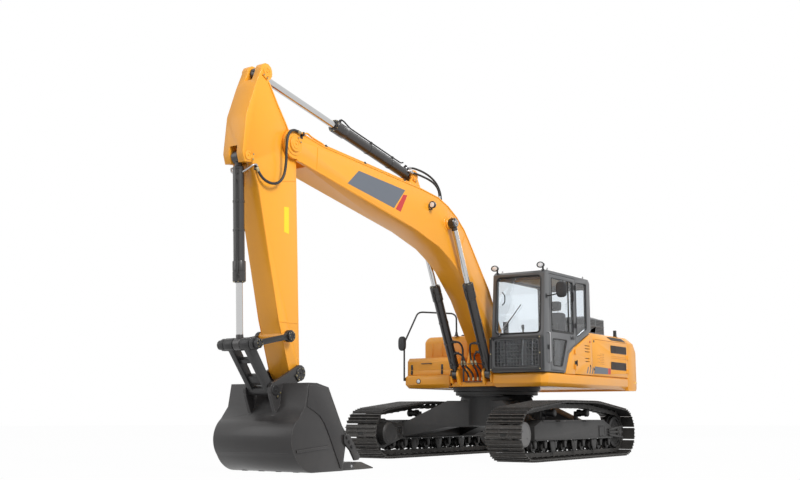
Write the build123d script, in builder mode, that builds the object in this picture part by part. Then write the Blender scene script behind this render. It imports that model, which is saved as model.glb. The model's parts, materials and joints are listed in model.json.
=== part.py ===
"""Crawler excavator, 24 t class.

Frame: +X forward (towards the boom), +Y left (the cab side), +Z up.
The origin is on the slew axis at ground level.  All sizes are millimetres.
"""
from build123d import *
import math
import os

os.makedirs("parts", exist_ok=True)

# ---------------------------------------------------------------- driving sizes
# undercarriage
track_gauge = 2590            # between the track centres
shoe_width = 600
sprocket_x = 1780             # drive sprocket axis, at the front
idler_x = -1755               # idler axis, at the rear
wheel_z = 405                 # height of both axes
carrier_x = 620               # the two carrier rollers stand at + and - this
carrier_rise = 120            # how far the carrier rollers lift the upper run
grouser = 26                  # height of a grouser bar over its shoe
shoe_plate = 14
link_height = 98              # chain link under the shoe
shoe_count = 48
rail_y = (45, 95)             # inner and outer side of one chain rail
frame_half = 150              # half width of a track frame
roller_radius = 78
roller_count = 9
carrier_radius = 62
idler_shaft = 40
sprocket_teeth = 21
sprocket_half = 32            # half thickness of the toothed ring
drum_radius = 205             # final drive drum

# slew bearing
ring_radius = 745
ring_top = 1160
ring_split = 1085
ring_gap = 0.3                # running gap between the two races
tub_radius = 625

# upper structure
house_half = 1360
deck_low = 1160
deck_high = 1360
deck_plate = 25
deck_front_cab = 850
deck_front_right = 765
cab_bay = 395                 # inner edge of the deck under the cab
right_bay = -470              # inner edge of the right deck
counterweight_front = -2480
counterweight_low = 1130
tail_middle = -3035           # rearmost point, on the middle plane
tail_corner = (-2975, 1250)   # where the tail's curve meets the rounded corner
corner_radius = 110
hood_high = 2100
shoulder_low = 1990           # the side walls lean in from here up to the roof
shoulder_in = 100
panel = 30                    # thickness of doors and side panels
hood_front = -1150            # opening of the engine bay: front edge, right and left edges
hood_right = -950
hood_left = 1200
gap = 6                       # all round a door or a lid
seal = 0.3                    # a closed door or lid stands this far off its frame
jamb = 40                     # width and depth of the frame behind a door

# cab
cab_right = 417
cab_left = house_half
cab_rear = -900
cab_low = 1372
cab_high = 3000
cab_knee_x = 880              # front corner at the foot of the windscreen
cab_knee_z = 1950
cab_brow_x = 800
cab_wall = 45

# working equipment: every pin is an (x, z) place in the machine's middle plane
boom_foot = (300, 1870)
boom_tip = (5680, 4180)
boom_rod_pin = (1890, 3693)
boom_base_pin = (803, 1360)
arm_base_pin = (2660, 4340)
arm_rod_pin = (6190, 5030)
bucket_base_pin = (6500, 3870)
link_pin_arm = (5747, 1673)
link_pin_mid = (6390, 1545)
link_pin_bucket = (5976, 998)
bucket_pin = (5500, 1220)

boom_half = 215               # half width of the boom's box
arm_half = 165
boom_cylinder_y = 312
bucket_half = 640
link_y = 215                  # inner face of a tipping link
link_thick = 54
pin_radius = 45
side_plate = 14

half_gauge = track_gauge / 2


# ---------------------------------------------------------------- helpers
def across(y):
    """Side-view plane at y: sketch x is forward, sketch y is up, and a positive
    extrusion runs towards the machine's right."""
    return Plane.XZ.offset(-y)


def along(start, end, y):
    """Plane at a pin, whose normal points at the other pin."""
    direction = (end[0] - start[0], 0, end[1] - start[1])
    return Plane(origin=(start[0], y, start[1]), x_dir=(0, 1, 0), z_dir=direction)


def distance(a, b):
    return math.hypot(b[0] - a[0], b[1] - a[1])


def between(a, b, share):
    """The point at that share of the way from a to b."""
    return (a[0] + (b[0] - a[0]) * share, a[1] + (b[1] - a[1]) * share)


def turned(radius, sides=12, mode=Mode.ADD):
    """Section of a round roller, drum, boss or bore, with flats that lie on its radius.
    Only the main pins are true circles, so that the whole machine stays light."""
    RegularPolygon(radius=radius, side_count=sides, major_radius=False, rotation=180 / sides, mode=mode)


def small_pin():
    """Section of a cylinder's or link's pin: its corners lie on the pin's radius, so that it
    turns freely in its bore."""
    RegularPolygon(radius=pin_radius, side_count=12)


def finish(part, name):
    part.label = name
    export_step(part, f"parts/{name}.step")


# ---------------------------------------------------------------- track loop
def loop_stations(depth):
    """Radius at the wheels and height at the carriers, at a depth under the grouser tips."""
    return wheel_z - depth, 2 * wheel_z + carrier_rise - depth


def tangent_angle(depth):
    """Slope of the upper run from a wheel up to the nearer carrier's top."""
    radius, high = loop_stations(depth)
    run = sprocket_x - carrier_x
    rise = high - wheel_z
    reach = math.hypot(run, rise)
    return math.atan2(rise, run) - math.asin(radius / reach)


def loop_path(depth):
    """Closed track line in the XZ plane as (start, end) lines and wheel arcs."""
    radius, high = loop_stations(depth)
    slope = tangent_angle(depth)
    front_top = (sprocket_x + radius * math.sin(slope), wheel_z + radius * math.cos(slope))
    rear_top = (idler_x - radius * math.sin(slope), wheel_z + radius * math.cos(slope))
    return radius, high, front_top, rear_top


def loop_line(depth, flats=8):
    """The loop's closed outline at a depth under the grouser tips.  Round each wheel it is
    a run of flats that stand on the wheel's circle, as the links do."""
    radius, high, front_top, rear_top = loop_path(depth)
    low = wheel_z - radius
    slope = tangent_angle(depth)
    step = (math.pi - slope) / flats
    corner = radius / math.cos(step / 2)
    front = [((k + 0.5) * step, sprocket_x, 1) for k in range(flats)]
    rear = [(math.pi - slope - (k + 0.5) * step, idler_x, -1) for k in range(flats)]

    def place(angle, x, sign):
        return (x + sign * corner * math.sin(angle), wheel_z - corner * math.cos(angle))

    with BuildLine() as line:
        Polyline(
            (idler_x, low),
            (sprocket_x, low),
            *[place(*turn) for turn in front],
            front_top,
            (carrier_x, high),
            (-carrier_x, high),
            rear_top,
            *[place(*turn) for turn in rear],
            close=True,
        )
    return line.line


def walk_loop(depth, count):
    """Points evenly spaced along the loop at a depth, from the rear of the ground run."""
    radius, high, front_top, rear_top = loop_path(depth)
    slope = tangent_angle(depth)
    low = wheel_z - radius
    ground = sprocket_x - idler_x
    turn = math.pi - slope
    arc = radius * turn
    ramp = distance(front_top, (carrier_x, high))
    # each stretch: length, point at a distance along it
    stretches = [
        (ground, lambda s: (idler_x + s, low)),
        (arc, lambda s: (sprocket_x + radius * math.sin(s / radius), wheel_z - radius * math.cos(s / radius))),
        (ramp, lambda s: between(front_top, (carrier_x, high), s / ramp)),
        (2 * carrier_x, lambda s: (carrier_x - s, high)),
        (ramp, lambda s: between((-carrier_x, high), rear_top, s / ramp)),
        (arc, lambda s: (idler_x - radius * math.sin(slope + s / radius),
                         wheel_z + radius * math.cos(slope + s / radius))),
    ]
    total = sum(length for length, place in stretches)
    points = []
    for k in range(count):
        s = total * k / count
        for length, place in stretches:
            if s <= length:
                points.append(place(s))
                break
            s -= length
    return points


pin_depth = grouser + shoe_plate + link_height / 2
shoe_low = pin_depth - grouser - shoe_plate      # shoe underside over the pin line


def shoe_outline():
    """Outline of the shoes: one plate a pitch, each with a grouser bar at its middle."""
    pins = walk_loop(pin_depth, shoe_count)
    points = []
    for k, start in enumerate(pins):
        end = pins[(k + 1) % shoe_count]
        pitch = distance(start, end)
        tx, tz = (end[0] - start[0]) / pitch, (end[1] - start[1]) / pitch
        nx, nz = tz, -tx
        plate = shoe_low + shoe_plate
        tip = plate + grouser
        for share, height in ((0.36, plate), (0.5, tip), (0.64, plate)):
            points.append((start[0] + tx * pitch * share + nx * height, start[1] + tz * pitch * share + nz * height))
    return points


for side, sign in (("left", 1), ("right", -1)):
    middle = sign * half_gauge
    with BuildPart() as track:
        with BuildSketch(across(middle + shoe_width / 2)):
            with BuildLine():
                Polyline(*shoe_outline(), close=True)
            make_face()
            add(loop_line(grouser + shoe_plate))
            make_face(mode=Mode.SUBTRACT)
        extrude(amount=shoe_width)
        for inner, outer in (rail_y, (-rail_y[1], -rail_y[0])):
            with BuildSketch(across(middle + outer)):
                add(loop_line(grouser + shoe_plate - 4))
                make_face()
                add(loop_line(grouser + shoe_plate + link_height))
                make_face(mode=Mode.SUBTRACT)
            extrude(amount=outer - inner)
    finish(track.part, f"track_{side}")


# ---------------------------------------------------------------- undercarriage
rail_surface = grouser + shoe_plate + link_height
rail_radius = wheel_z - rail_surface
roller_z = rail_surface + roller_radius
frame_low = roller_z + roller_radius + 14
frame_front = sprocket_x - rail_radius - 75
frame_rear = idler_x + rail_radius + 45
roller_pitch = (sprocket_x - idler_x - 2 * rail_radius - 240) / (roller_count - 1)
carrier_z = 2 * wheel_z + carrier_rise - rail_surface - carrier_radius - 3

flange_plate = 22             # flanges that stand out of a track frame's beam
frame_high = 615
yoke_plate = 30
drum_bore = drum_radius - 25  # hole of the final drive's plate, round the travel motor
lashing_x = 1330              # lashing eyes stand inboard of each frame at + and - this
lashing_z = 450
lashing_bore = 32.5
lashing_plate = 40
lashing_reach = 62            # from the frame's side to the eye's axis

with BuildPart() as track_frames:
    for sign in (1, -1):
        middle = sign * half_gauge
        # beam with sloping ends
        with BuildSketch(across(middle + frame_half)):
            with BuildLine():
                Polyline(
                    (frame_rear, frame_low),
                    (frame_front, frame_low),
                    (frame_front, 520),
                    (frame_front - 260, frame_high),
                    (frame_rear + 330, frame_high),
                    (frame_rear, 500),
                    close=True,
                )
            make_face()
        extrude(amount=2 * frame_half)
        # flanges along its top and foot
        with BuildSketch(across(middle + frame_half + flange_plate)):
            with Locations(((frame_front + frame_rear) / 2, frame_low + flange_plate / 2)):
                Rectangle(frame_front - frame_rear, flange_plate)
            with Locations(((frame_front + frame_rear + 70) / 2, frame_high - flange_plate / 2)):
                Rectangle(frame_front - frame_rear - 590, flange_plate)
        extrude(amount=2 * frame_half + 2 * flange_plate)
        # yoke that guides the idler's shaft, ribbed along its outer side
        for low in (-frame_half, frame_half - yoke_plate):
            with BuildSketch(across(middle + low + yoke_plate)):
                with BuildLine():
                    Polyline(
                        (idler_x - 90, 350),
                        (frame_rear + 20, 330),
                        (frame_rear + 20, 480),
                        (idler_x - 90, 460),
                        close=True,
                    )
                make_face()
                with Locations((idler_x - 40, wheel_z)):
                    Rectangle(2 * idler_shaft + 80, 2 * idler_shaft + 1, mode=Mode.SUBTRACT)
            extrude(amount=yoke_plate)
        # plate on the inboard side that carries the final drive
        plate_y = middle - sign * frame_half
        with BuildSketch(across(max(plate_y, plate_y - sign * 20))):
            with BuildLine():
                Polyline(
                    (frame_front - 200, frame_low),
                    (sprocket_x, wheel_z - 235),
                    (sprocket_x, wheel_z + 235),
                    (frame_front - 200, 540),
                    close=True,
                )
            make_face()
            with Locations((sprocket_x, wheel_z)):
                turned(235)
            with Locations((sprocket_x, wheel_z)):
                turned(drum_bore, mode=Mode.SUBTRACT)
        extrude(amount=20)
        # lashing eyes
        eye_y = plate_y - sign * lashing_reach
        for x in (-lashing_x, lashing_x):
            with BuildSketch(Plane.YZ.offset(x - lashing_plate / 2)):
                with Locations((plate_y - sign * 55, lashing_z)):
                    Rectangle(110, 130)
                with Locations((eye_y, lashing_z)):
                    turned(lashing_bore, mode=Mode.SUBTRACT)
            extrude(amount=lashing_plate)
finish(track_frames.part, "track_frames")


def sprocket_outline():
    """Toothed ring: each tooth narrows to its tip."""
    root = rail_radius + 12
    tip = root + 44
    points = []
    for k in range(sprocket_teeth):
        middle_angle = 2 * math.pi * k / sprocket_teeth
        for radius, turn in ((tip, 0), (root, math.pi / sprocket_teeth)):
            angle = middle_angle + turn
            points.append((sprocket_x + radius * math.cos(angle), wheel_z + radius * math.sin(angle)))
    return points


with BuildPart() as drive_sprockets:
    for sign in (1, -1):
        middle = sign * half_gauge
        with BuildSketch(across(middle + sprocket_half)):
            with BuildLine():
                Polyline(*sprocket_outline(), close=True)
            make_face()
        extrude(amount=2 * sprocket_half)
        # final drive drum, from the inboard plate to its cover outside
        drum_low = middle - sign * frame_half
        drum_high = middle + sign * 175
        with BuildSketch(across(max(drum_low, drum_high))):
            with Locations((sprocket_x, wheel_z)):
                turned(drum_radius, 16)
        extrude(amount=abs(drum_high - drum_low))
        outer = drive_sprockets.faces().filter_by(Axis.Y).sort_by(Axis.Y)[-1 if sign > 0 else 0]
        chamfer(outer.edges(), length=26)
finish(drive_sprockets.part, "drive_sprockets")

with BuildPart() as travel_motors:
    for sign in (1, -1):
        high = sign * (half_gauge - frame_half)
        low = sign * (half_gauge - frame_half - 190)
        with BuildSketch(across(max(high, low))):
            with Locations((sprocket_x, wheel_z)):
                turned(drum_bore - 2)
        extrude(amount=abs(high - low))
finish(travel_motors.part, "travel_motors")

with BuildPart() as idlers:
    for sign in (1, -1):
        middle = sign * half_gauge
        for half, radius, sides in (
            (rail_y[1] - 5, rail_radius, 14),
            (rail_y[0] - 8, rail_radius + 26, 14),
            (frame_half + 22, idler_shaft, 8),
        ):
            with BuildSketch(across(middle + half)):
                with Locations((idler_x, wheel_z)):
                    RegularPolygon(radius=radius, side_count=sides, rotation=180 / sides)
            extrude(amount=2 * half)
finish(idlers.part, "idlers")

with BuildPart() as bottom_rollers:
    for sign in (1, -1):
        middle = sign * half_gauge
        body_half = rail_y[1] + 8
        for k in range(roller_count):
            x = (sprocket_x + idler_x) / 2 + (k - (roller_count - 1) / 2) * roller_pitch
            with BuildSketch(across(middle + body_half)):
                with Locations((x, roller_z)):
                    turned(roller_radius, 8)
            extrude(amount=2 * body_half)
            # the saddle that bolts up to the frame
            with BuildSketch(across(middle + 45)):
                with Locations((x, (roller_z + frame_low) / 2)):
                    Rectangle(70, frame_low - roller_z)
            extrude(amount=90)
finish(bottom_rollers.part, "bottom_rollers")

with BuildPart() as top_rollers:
    for sign in (1, -1):
        middle = sign * half_gauge
        for x in (-carrier_x, carrier_x):
            with BuildSketch(across(middle + rail_y[1] + 8)):
                with Locations((x, carrier_z)):
                    turned(carrier_radius, 8)
            extrude(amount=2 * rail_y[1] + 16)
            stem = middle - sign * (rail_y[1] + 25)
            with BuildSketch(across(stem + 22)):
                with Locations((x, (carrier_z + 30 + frame_high) / 2)):
                    Rectangle(84, carrier_z + 30 - frame_high)
            extrude(amount=44)
finish(top_rollers.part, "top_rollers")

leg_low = 332
leg_high = 930
leg_top = frame_high - flange_plate - 1          # height of a leg where it meets the track frame
with BuildPart() as car_body:
    with BuildSketch(Plane.XY.offset(520)):
        RegularPolygon(radius=tub_radius, side_count=24)
    extrude(amount=ring_split - 90 - 520)
    with BuildSketch(Plane.XY.offset(ring_split - 90)):
        RegularPolygon(radius=tub_radius + 65, side_count=24)
    extrude(amount=30)
    # four box legs: plan outlines of one height, then trimmed to their slope from the front
    for end in (1, -1):
        with BuildSketch(Plane.XY.offset(leg_low)):
            for side in (1, -1):
                with BuildLine():
                    Polyline(
                        (end * 120, side * 150),
                        (end * 540, side * 150),
                        (end * 1160, side * (half_gauge - frame_half)),
                        (end * 700, side * (half_gauge - frame_half)),
                        close=True,
                    )
                make_face()
        extrude(amount=leg_high - leg_low)
    with BuildSketch(Plane.YZ.offset(-1300)):
        with BuildLine():
            reach = half_gauge - frame_half
            Polyline(
                (reach, leg_low),
                (reach, leg_top),
                (reach - 2 * flange_plate, leg_top),
                (520, leg_high),
                (400, ring_split - 60),
                (-400, ring_split - 60),
                (-520, leg_high),
                (2 * flange_plate - reach, leg_top),
                (-reach, leg_top),
                (-reach, leg_low),
                (-520, 500),
                (520, 500),
                close=True,
            )
        make_face()
    extrude(amount=2600, mode=Mode.INTERSECT)
finish(car_body.part, "car_body")

# the two races of the slew bearing
with BuildPart() as slew_ring_base:
    with BuildSketch(Plane.XY.offset(ring_split - 60)):
        RegularPolygon(radius=ring_radius - 50, side_count=24)
        RegularPolygon(radius=tub_radius - 60, side_count=24, mode=Mode.SUBTRACT)
    extrude(amount=60)
finish(slew_ring_base.part, "slew_ring_base")

with BuildPart() as slew_ring_top:
    with BuildSketch(Plane.XY.offset(ring_split + ring_gap)):
        RegularPolygon(radius=ring_radius, side_count=36)
    extrude(amount=ring_top - ring_split - ring_gap)
finish(slew_ring_top.part, "slew_ring_top")


# ---------------------------------------------------------------- upper structure
skirt = 55
bracket_inner = boom_half + 10
bracket_plate = 35
beam_high = 1380
pin_clear = 0.5
bracket_outer = bracket_inner + bracket_plate
clevis_gap = 104                       # between the lugs that hold a boom cylinder's foot
clevis_inner = boom_cylinder_y - clevis_gap / 2
clevis_outer = boom_cylinder_y + clevis_gap / 2


def deck_outline(inset, rear):
    """Plan outline of the deck, pulled in by a distance, back to a rear line."""
    edge = house_half - inset
    with BuildLine() as line:
        Polyline(
            (rear, -edge),
            (deck_front_right - inset, -edge),
            (deck_front_right - inset, right_bay),
            (620, right_bay),
            (620, cab_bay),
            (deck_front_cab - inset, cab_bay),
            (deck_front_cab - inset, edge - 90),
            (deck_front_cab - inset - 90, edge),
            (rear, edge),
            close=True,
        )
    return line.line


with BuildPart() as house_frame:
    with BuildSketch(Plane.XY.offset(ring_top)):
        add(deck_outline(skirt + 1, counterweight_front))
        make_face()
    extrude(amount=deck_plate)
    # two bracket plates that carry the boom's foot and run back as the main beams
    for low in (bracket_inner, -bracket_outer):
        with BuildSketch(across(low + bracket_plate)):
            with BuildLine():
                Polyline(
                    (counterweight_front, ring_top + deck_plate),
                    (boom_base_pin[0] + 60, ring_top + deck_plate),
                    (boom_base_pin[0] + 90, boom_base_pin[1]),
                    (boom_base_pin[0] - 80, boom_base_pin[1] + 60),
                    (600, 1440),
                    (boom_foot[0] + 150, boom_foot[1] - 40),
                    (boom_foot[0] - 150, boom_foot[1] + 20),
                    (-420, 1560),
                    (-1000, beam_high),
                    (counterweight_front, beam_high),
                    close=True,
                )
            make_face()
            with Locations(boom_foot):
                turned(155)
            with Locations(boom_base_pin):
                turned(95)
        extrude(amount=bracket_plate)
    # cross plates between the beams
    for x, high in ((-300, 1500), (-1300, beam_high), (counterweight_front + 30, beam_high)):
        with BuildSketch(Plane.YZ.offset(x)):
            with Locations((0, (ring_top + high) / 2)):
                Rectangle(2 * bracket_inner + 4, high - ring_top)
        extrude(amount=30)
    # outer lugs at the feet of the boom cylinders, on a nose box in front
    for sign in (1, -1):
        low = clevis_outer if sign > 0 else -clevis_outer - 30
        with BuildSketch(across(low + 30)):
            with Locations(boom_base_pin):
                turned(78)
            with BuildLine():
                Polyline(
                    (boom_base_pin[0] - 190, ring_top),
                    (boom_base_pin[0] + 60, ring_top + 60),
                    (boom_base_pin[0] + 78, boom_base_pin[1]),
                    (boom_base_pin[0] - 78, boom_base_pin[1]),
                    close=True,
                )
            make_face()
        extrude(amount=30)
    with BuildSketch(Plane.XY.offset(ring_top)):
        with Locations(((590 + boom_base_pin[0]) / 2, 0)):
            Rectangle(boom_base_pin[0] - 590, 2 * clevis_outer + 60)
    extrude(amount=70)
    # pins of the boom's foot and of the cylinders' feet
    with BuildSketch(across(bracket_inner)):
        with Locations(boom_foot):
            Circle(pin_radius)
    extrude(amount=2 * bracket_inner)
    for high, low in ((clevis_outer, bracket_outer), (-bracket_outer, -clevis_outer)):
        with BuildSketch(across(high)):
            with Locations(boom_base_pin):
                small_pin()
        extrude(amount=high - low)
finish(house_frame.part, "house_frame")

lip = 26                      # sloping upper lip of the skirt
tuck = 45                     # how far the skirt's foot draws in
with BuildPart() as deck_skirts:
    # upright band, with the lip above it and the foot drawn in below it
    with BuildSketch(Plane.XY.offset(deck_low + tuck)):
        add(deck_outline(0, counterweight_front - 100))
        make_face()
    extrude(amount=deck_high - deck_low - tuck - lip)
    with BuildSketch(Plane.XY.offset(deck_high - lip)):
        add(deck_outline(0, counterweight_front - 100))
        make_face()
    extrude(amount=lip, taper=40)
    with BuildSketch(Plane.XY.offset(deck_low + tuck)):
        add(deck_outline(0, counterweight_front - 100))
        make_face()
    extrude(amount=-tuck - 18, taper=35)
    # open inside the skirt, in the middle bay and behind the counterweight's front
    with BuildSketch(Plane.XY.offset(deck_low - 100)):
        add(deck_outline(skirt, counterweight_front - 200))
        make_face()
        with Locations((0, (cab_bay + right_bay) / 2)):
            Rectangle(1300, cab_bay - right_bay)
        with Locations((counterweight_front - 200, 0)):
            Rectangle(400, 2 * house_half + 10)
    extrude(amount=400, mode=Mode.SUBTRACT)
finish(deck_skirts.part, "deck_skirts")

eye_place = (-2640, 600)      # lifting-eye holes in the top of the counterweight, at + and - y
eye_bore = 21
eye_depth = 90
with BuildPart() as counterweight:
    with BuildSketch(Plane.XY.offset(counterweight_low)):
        with BuildLine():
            corner_x, corner_y = tail_corner
            Line((counterweight_front, -house_half), (counterweight_front, house_half))
            Line((counterweight_front, house_half), (corner_x + corner_radius, house_half))
            RadiusArc((corner_x + corner_radius, house_half), (corner_x, corner_y), -corner_radius)
            ThreePointArc((corner_x, corner_y), (tail_middle, 0), (corner_x, -corner_y))
            RadiusArc((corner_x, -corner_y), (corner_x + corner_radius, -house_half), -corner_radius)
            Line((corner_x + corner_radius, -house_half), (counterweight_front, -house_half))
        make_face()
    extrude(amount=hood_high - counterweight_low)
    # sloping back, and the foot that tucks under
    with BuildSketch(across(house_half)):
        with BuildLine():
            Polyline((-2675, hood_high), (-2710, 2055), (-2925, 1790), (-3200, 1440), (-3200, hood_high), close=True)
        make_face()
        with BuildLine():
            Polyline((-2840, counterweight_low), (-3100, 1400), (-3200, 1400), (-3200, counterweight_low), close=True)
        make_face()
    extrude(amount=2 * house_half, mode=Mode.SUBTRACT)
    # sloping shoulders
    for sign in (1, -1):
        with BuildSketch(Plane.YZ.offset(counterweight_front)):
            with BuildLine():
                Polyline(
                    (sign * house_half, shoulder_low),
                    (sign * (house_half - shoulder_in), hood_high),
                    (sign * house_half, hood_high),
                    close=True,
                )
            make_face()
        extrude(amount=-700, mode=Mode.SUBTRACT)
    with Locations((eye_place[0], eye_place[1], hood_high)):
        Hole(radius=eye_bore, depth=eye_depth)
    with Locations((eye_place[0], -eye_place[1], hood_high)):
        Hole(radius=eye_bore, depth=eye_depth - 20)
finish(counterweight.part, "counterweight")

with BuildPart() as engine:
    with BuildSketch(Plane.XY.offset(beam_high)):
        with Locations((-1900, 60)):
            Rectangle(800, 1350)
    extrude(amount=640)
finish(engine.part, "engine")

# side housings: each row is a fixed panel or shell between the doors
side_door_x = (-230, -945, counterweight_front)        # seams of the two left doors
right_door_x = (-1180, counterweight_front)
roof_front = cab_rear - 48
jamb_high = shoulder_low + 10
hood_x, hood_long = (counterweight_front + hood_front) / 2, hood_front - counterweight_front
hood_y, hood_wide = (hood_left + hood_right) / 2, hood_left - hood_right
with BuildPart() as body_panels:
    # left corner panel ahead of the front door, cut along the cab's sloping edge
    with BuildSketch(across(house_half)):
        with BuildLine():
            Polyline(
                (side_door_x[0] + gap / 2, deck_high),
                (130, deck_high),
                (-30, 1680),
                (side_door_x[0] + gap / 2, 1810),
                close=True,
            )
        make_face()
    extrude(amount=panel)
    # fixed panel between the fuel tank and the right door
    with BuildSketch(across(-house_half + panel)):
        with Locations(((roof_front + right_door_x[0] + gap / 2) / 2, (deck_high + shoulder_low) / 2)):
            Rectangle(roof_front - right_door_x[0] - gap / 2, shoulder_low - deck_high)
    extrude(amount=panel)
    # top deck around the engine hood
    with BuildSketch(Plane.XY.offset(hood_high - panel)):
        with Locations(((counterweight_front + roof_front) / 2, 0)):
            Rectangle(roof_front - counterweight_front, 2 * (house_half - shoulder_in))
        with Locations((hood_x, hood_y)):
            Rectangle(hood_long, hood_wide, mode=Mode.SUBTRACT)
    extrude(amount=panel)
    # shoulders that lean from the side doors up to the roof
    for sign in (1, -1):
        with BuildSketch(Plane.YZ.offset(roof_front)):
            with BuildLine():
                Polyline(
                    (sign * house_half, shoulder_low),
                    (sign * (house_half - shoulder_in), hood_high),
                    (sign * (house_half - shoulder_in - 60), hood_high),
                    (sign * (house_half - shoulder_in - 60), hood_high - panel),
                    (sign * (house_half - panel), shoulder_low),
                    close=True,
                )
            make_face()
        extrude(amount=counterweight_front - roof_front)
    # lip under the hood's edge
    with BuildSketch(Plane.XY.offset(hood_high - panel - 20)):
        with Locations((hood_x, hood_y)):
            Rectangle(hood_long, hood_wide)
            Rectangle(hood_long - 2 * jamb, hood_wide - 2 * jamb, mode=Mode.SUBTRACT)
    extrude(amount=20 + 4 - seal)
    # frames behind the side doors
    for front, sign in ((side_door_x[1] + jamb / 2, 1), (right_door_x[0], -1)):
        face = house_half - panel - seal
        with BuildSketch(across(face if sign > 0 else -face + jamb)):
            with Locations(((front + counterweight_front) / 2, (deck_high + jamb_high) / 2)):
                Rectangle(front - counterweight_front, jamb_high - deck_high)
                Rectangle(
                    front - counterweight_front - 2 * jamb, jamb_high - deck_high - 2 * jamb, mode=Mode.SUBTRACT
                )
        extrude(amount=jamb)
    # firewall behind the cab and the tanks
    with BuildSketch(Plane.YZ.offset(roof_front - panel)):
        with Locations((0, (deck_high + shoulder_low) / 2)):
            Rectangle(2 * (house_half - panel - seal), shoulder_low - deck_high)
        with Locations((0, (shoulder_low + hood_high - panel) / 2)):
            Rectangle(2 * (house_half - shoulder_in - 70), hood_high - panel - shoulder_low)
        with Locations((0, deck_high)):
            Rectangle(2 * bracket_outer + 20, 420, mode=Mode.SUBTRACT)
    extrude(amount=panel)
finish(body_panels.part, "body_panels")

hinge_out = 12                # a door hinge's axis stands this far off the wall
hinge_radius = 11
door_hinge_z = (1440, 1690)
hinge_long = 80


def hinge_section(axis_x, side, towards):
    """Plan of a side door's hinge: the barrel on the axis and the leaf that reaches onto the door."""
    wall = side * house_half
    with Locations((axis_x, wall + side * hinge_out)):
        turned(hinge_radius, 8)
    with Locations((axis_x + towards * 30, wall + side * 3)):
        Rectangle(54, 10)
    with Locations((axis_x + towards * 8, wall + side * 8)):
        Rectangle(9, 8)


with BuildPart() as left_front_door:
    with BuildSketch(across(house_half)):
        with BuildLine():
            Polyline(
                (side_door_x[0] - gap / 2, deck_high + gap),
                (side_door_x[0] - gap / 2, 1800),
                (-883, 2066),
                (side_door_x[1] + gap / 2, 2066),
                (side_door_x[1] + gap / 2, deck_high + gap),
                close=True,
            )
        make_face()
    extrude(amount=panel)
    # cooling slits
    for x, slits in ((-740, ((1855, 200), (1805, 200), (1755, 200))), (-740, ((1640, 170), (1590, 170)))):
        with BuildSketch(across(house_half)):
            for z, wide in slits:
                with Locations((x, z)):
                    Rectangle(wide, 14)
        extrude(amount=panel, mode=Mode.SUBTRACT)
    for z in door_hinge_z:
        with BuildSketch(Plane.XY.offset(z)):
            hinge_section(side_door_x[0], 1, -1)
        extrude(amount=hinge_long)
finish(left_front_door.part, "left_front_door")

# louvred air intakes of the rear door: centre, height of the panel and its rows
door_grilles = ((1870, 90), (1555, 100))
with BuildPart() as left_rear_door:
    with BuildSketch(across(house_half)):
        with Locations(((side_door_x[1] + side_door_x[2]) / 2, (deck_high + shoulder_low) / 2)):
            Rectangle(side_door_x[1] - side_door_x[2] - gap, shoulder_low - deck_high - 2 * gap)
    extrude(amount=panel)
    for z, high in door_grilles:
        with BuildSketch(across(house_half)):
            with Locations((-2070, z)):
                Rectangle(680, high)
        extrude(amount=12, mode=Mode.SUBTRACT)
        with BuildSketch(across(house_half)):
            with GridLocations(0, high / 3, 1, 3):
                with Locations((-2070, z)):
                    Rectangle(650, 8)
        extrude(amount=panel, mode=Mode.SUBTRACT)
    for z in door_hinge_z:
        with BuildSketch(Plane.XY.offset(z)):
            hinge_section(side_door_x[2], 1, 1)
        extrude(amount=hinge_long)
finish(left_rear_door.part, "left_rear_door")

with BuildPart() as right_door:
    with BuildSketch(across(-house_half + panel)):
        with Locations(((right_door_x[0] + right_door_x[1]) / 2, (deck_high + shoulder_low) / 2)):
            Rectangle(right_door_x[0] - right_door_x[1] - gap, shoulder_low - deck_high - 2 * gap)
    extrude(amount=panel)
    with BuildSketch(across(-house_half + 12)):
        with Locations((-2050, 1780)):
            Rectangle(560, 200)
    extrude(amount=12, mode=Mode.SUBTRACT)
    for z in door_hinge_z:
        with BuildSketch(Plane.XY.offset(z)):
            hinge_section(right_door_x[0], -1, -1)
        extrude(amount=hinge_long)
finish(right_door.part, "right_door")

hood_top = hood_high + 4
with BuildPart() as engine_hood:
    with BuildSketch(Plane.XY.offset(hood_top - panel)):
        with Locations((hood_x, hood_y)):
            Rectangle(hood_long - 2 * gap, hood_wide - 2 * gap)
    extrude(amount=panel)
    # hinge barrels along the front edge
    for y in (-600, 700):
        with BuildSketch(across(y + hinge_long)):
            with Locations((hood_front, hood_high + 20)):
                turned(hinge_radius, 8)
            with Locations((hood_front - 26, hood_high + 8)):
                Rectangle(54, 12)
        extrude(amount=2 * hinge_long)
finish(engine_hood.part, "engine_hood")

vent_middle = (-1625, 765)
vent_size = (750, 730, 316)
with BuildPart() as hood_vent:
    vent_x, vent_y = vent_middle
    vent_long, vent_wide, vent_high = vent_size
    with BuildSketch(Plane.XY.offset(hood_top)):
        with Locations(vent_middle):
            Rectangle(vent_long, vent_wide)
    extrude(amount=vent_high)
    chamfer(hood_vent.faces().sort_by(Axis.Z)[-1].edges(), length=30)
    # mesh windows, two rows of two on every side
    for row in (0.3, 0.7):
        z = hood_top + vent_high * row
        for shift in (-0.24, 0.24):
            for side in (1, -1):
                with Locations((vent_x + shift * vent_long, vent_y + side * vent_wide / 2, z)):
                    Box(vent_long * 0.42, 24, vent_high * 0.32, mode=Mode.SUBTRACT)
                with Locations((vent_x + side * vent_long / 2, vent_y + shift * vent_wide, z)):
                    Box(24, vent_wide * 0.42, vent_high * 0.32, mode=Mode.SUBTRACT)
finish(hood_vent.part, "hood_vent")

with BuildPart() as exhaust_pipe:
    with BuildSketch(Plane.XY.offset(hood_high)):
        with Locations((-2250, (hood_left + house_half - shoulder_in) / 2)):
            turned(30, 12)
    extrude(amount=180)
finish(exhaust_pipe.part, "exhaust_pipe")

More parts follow.
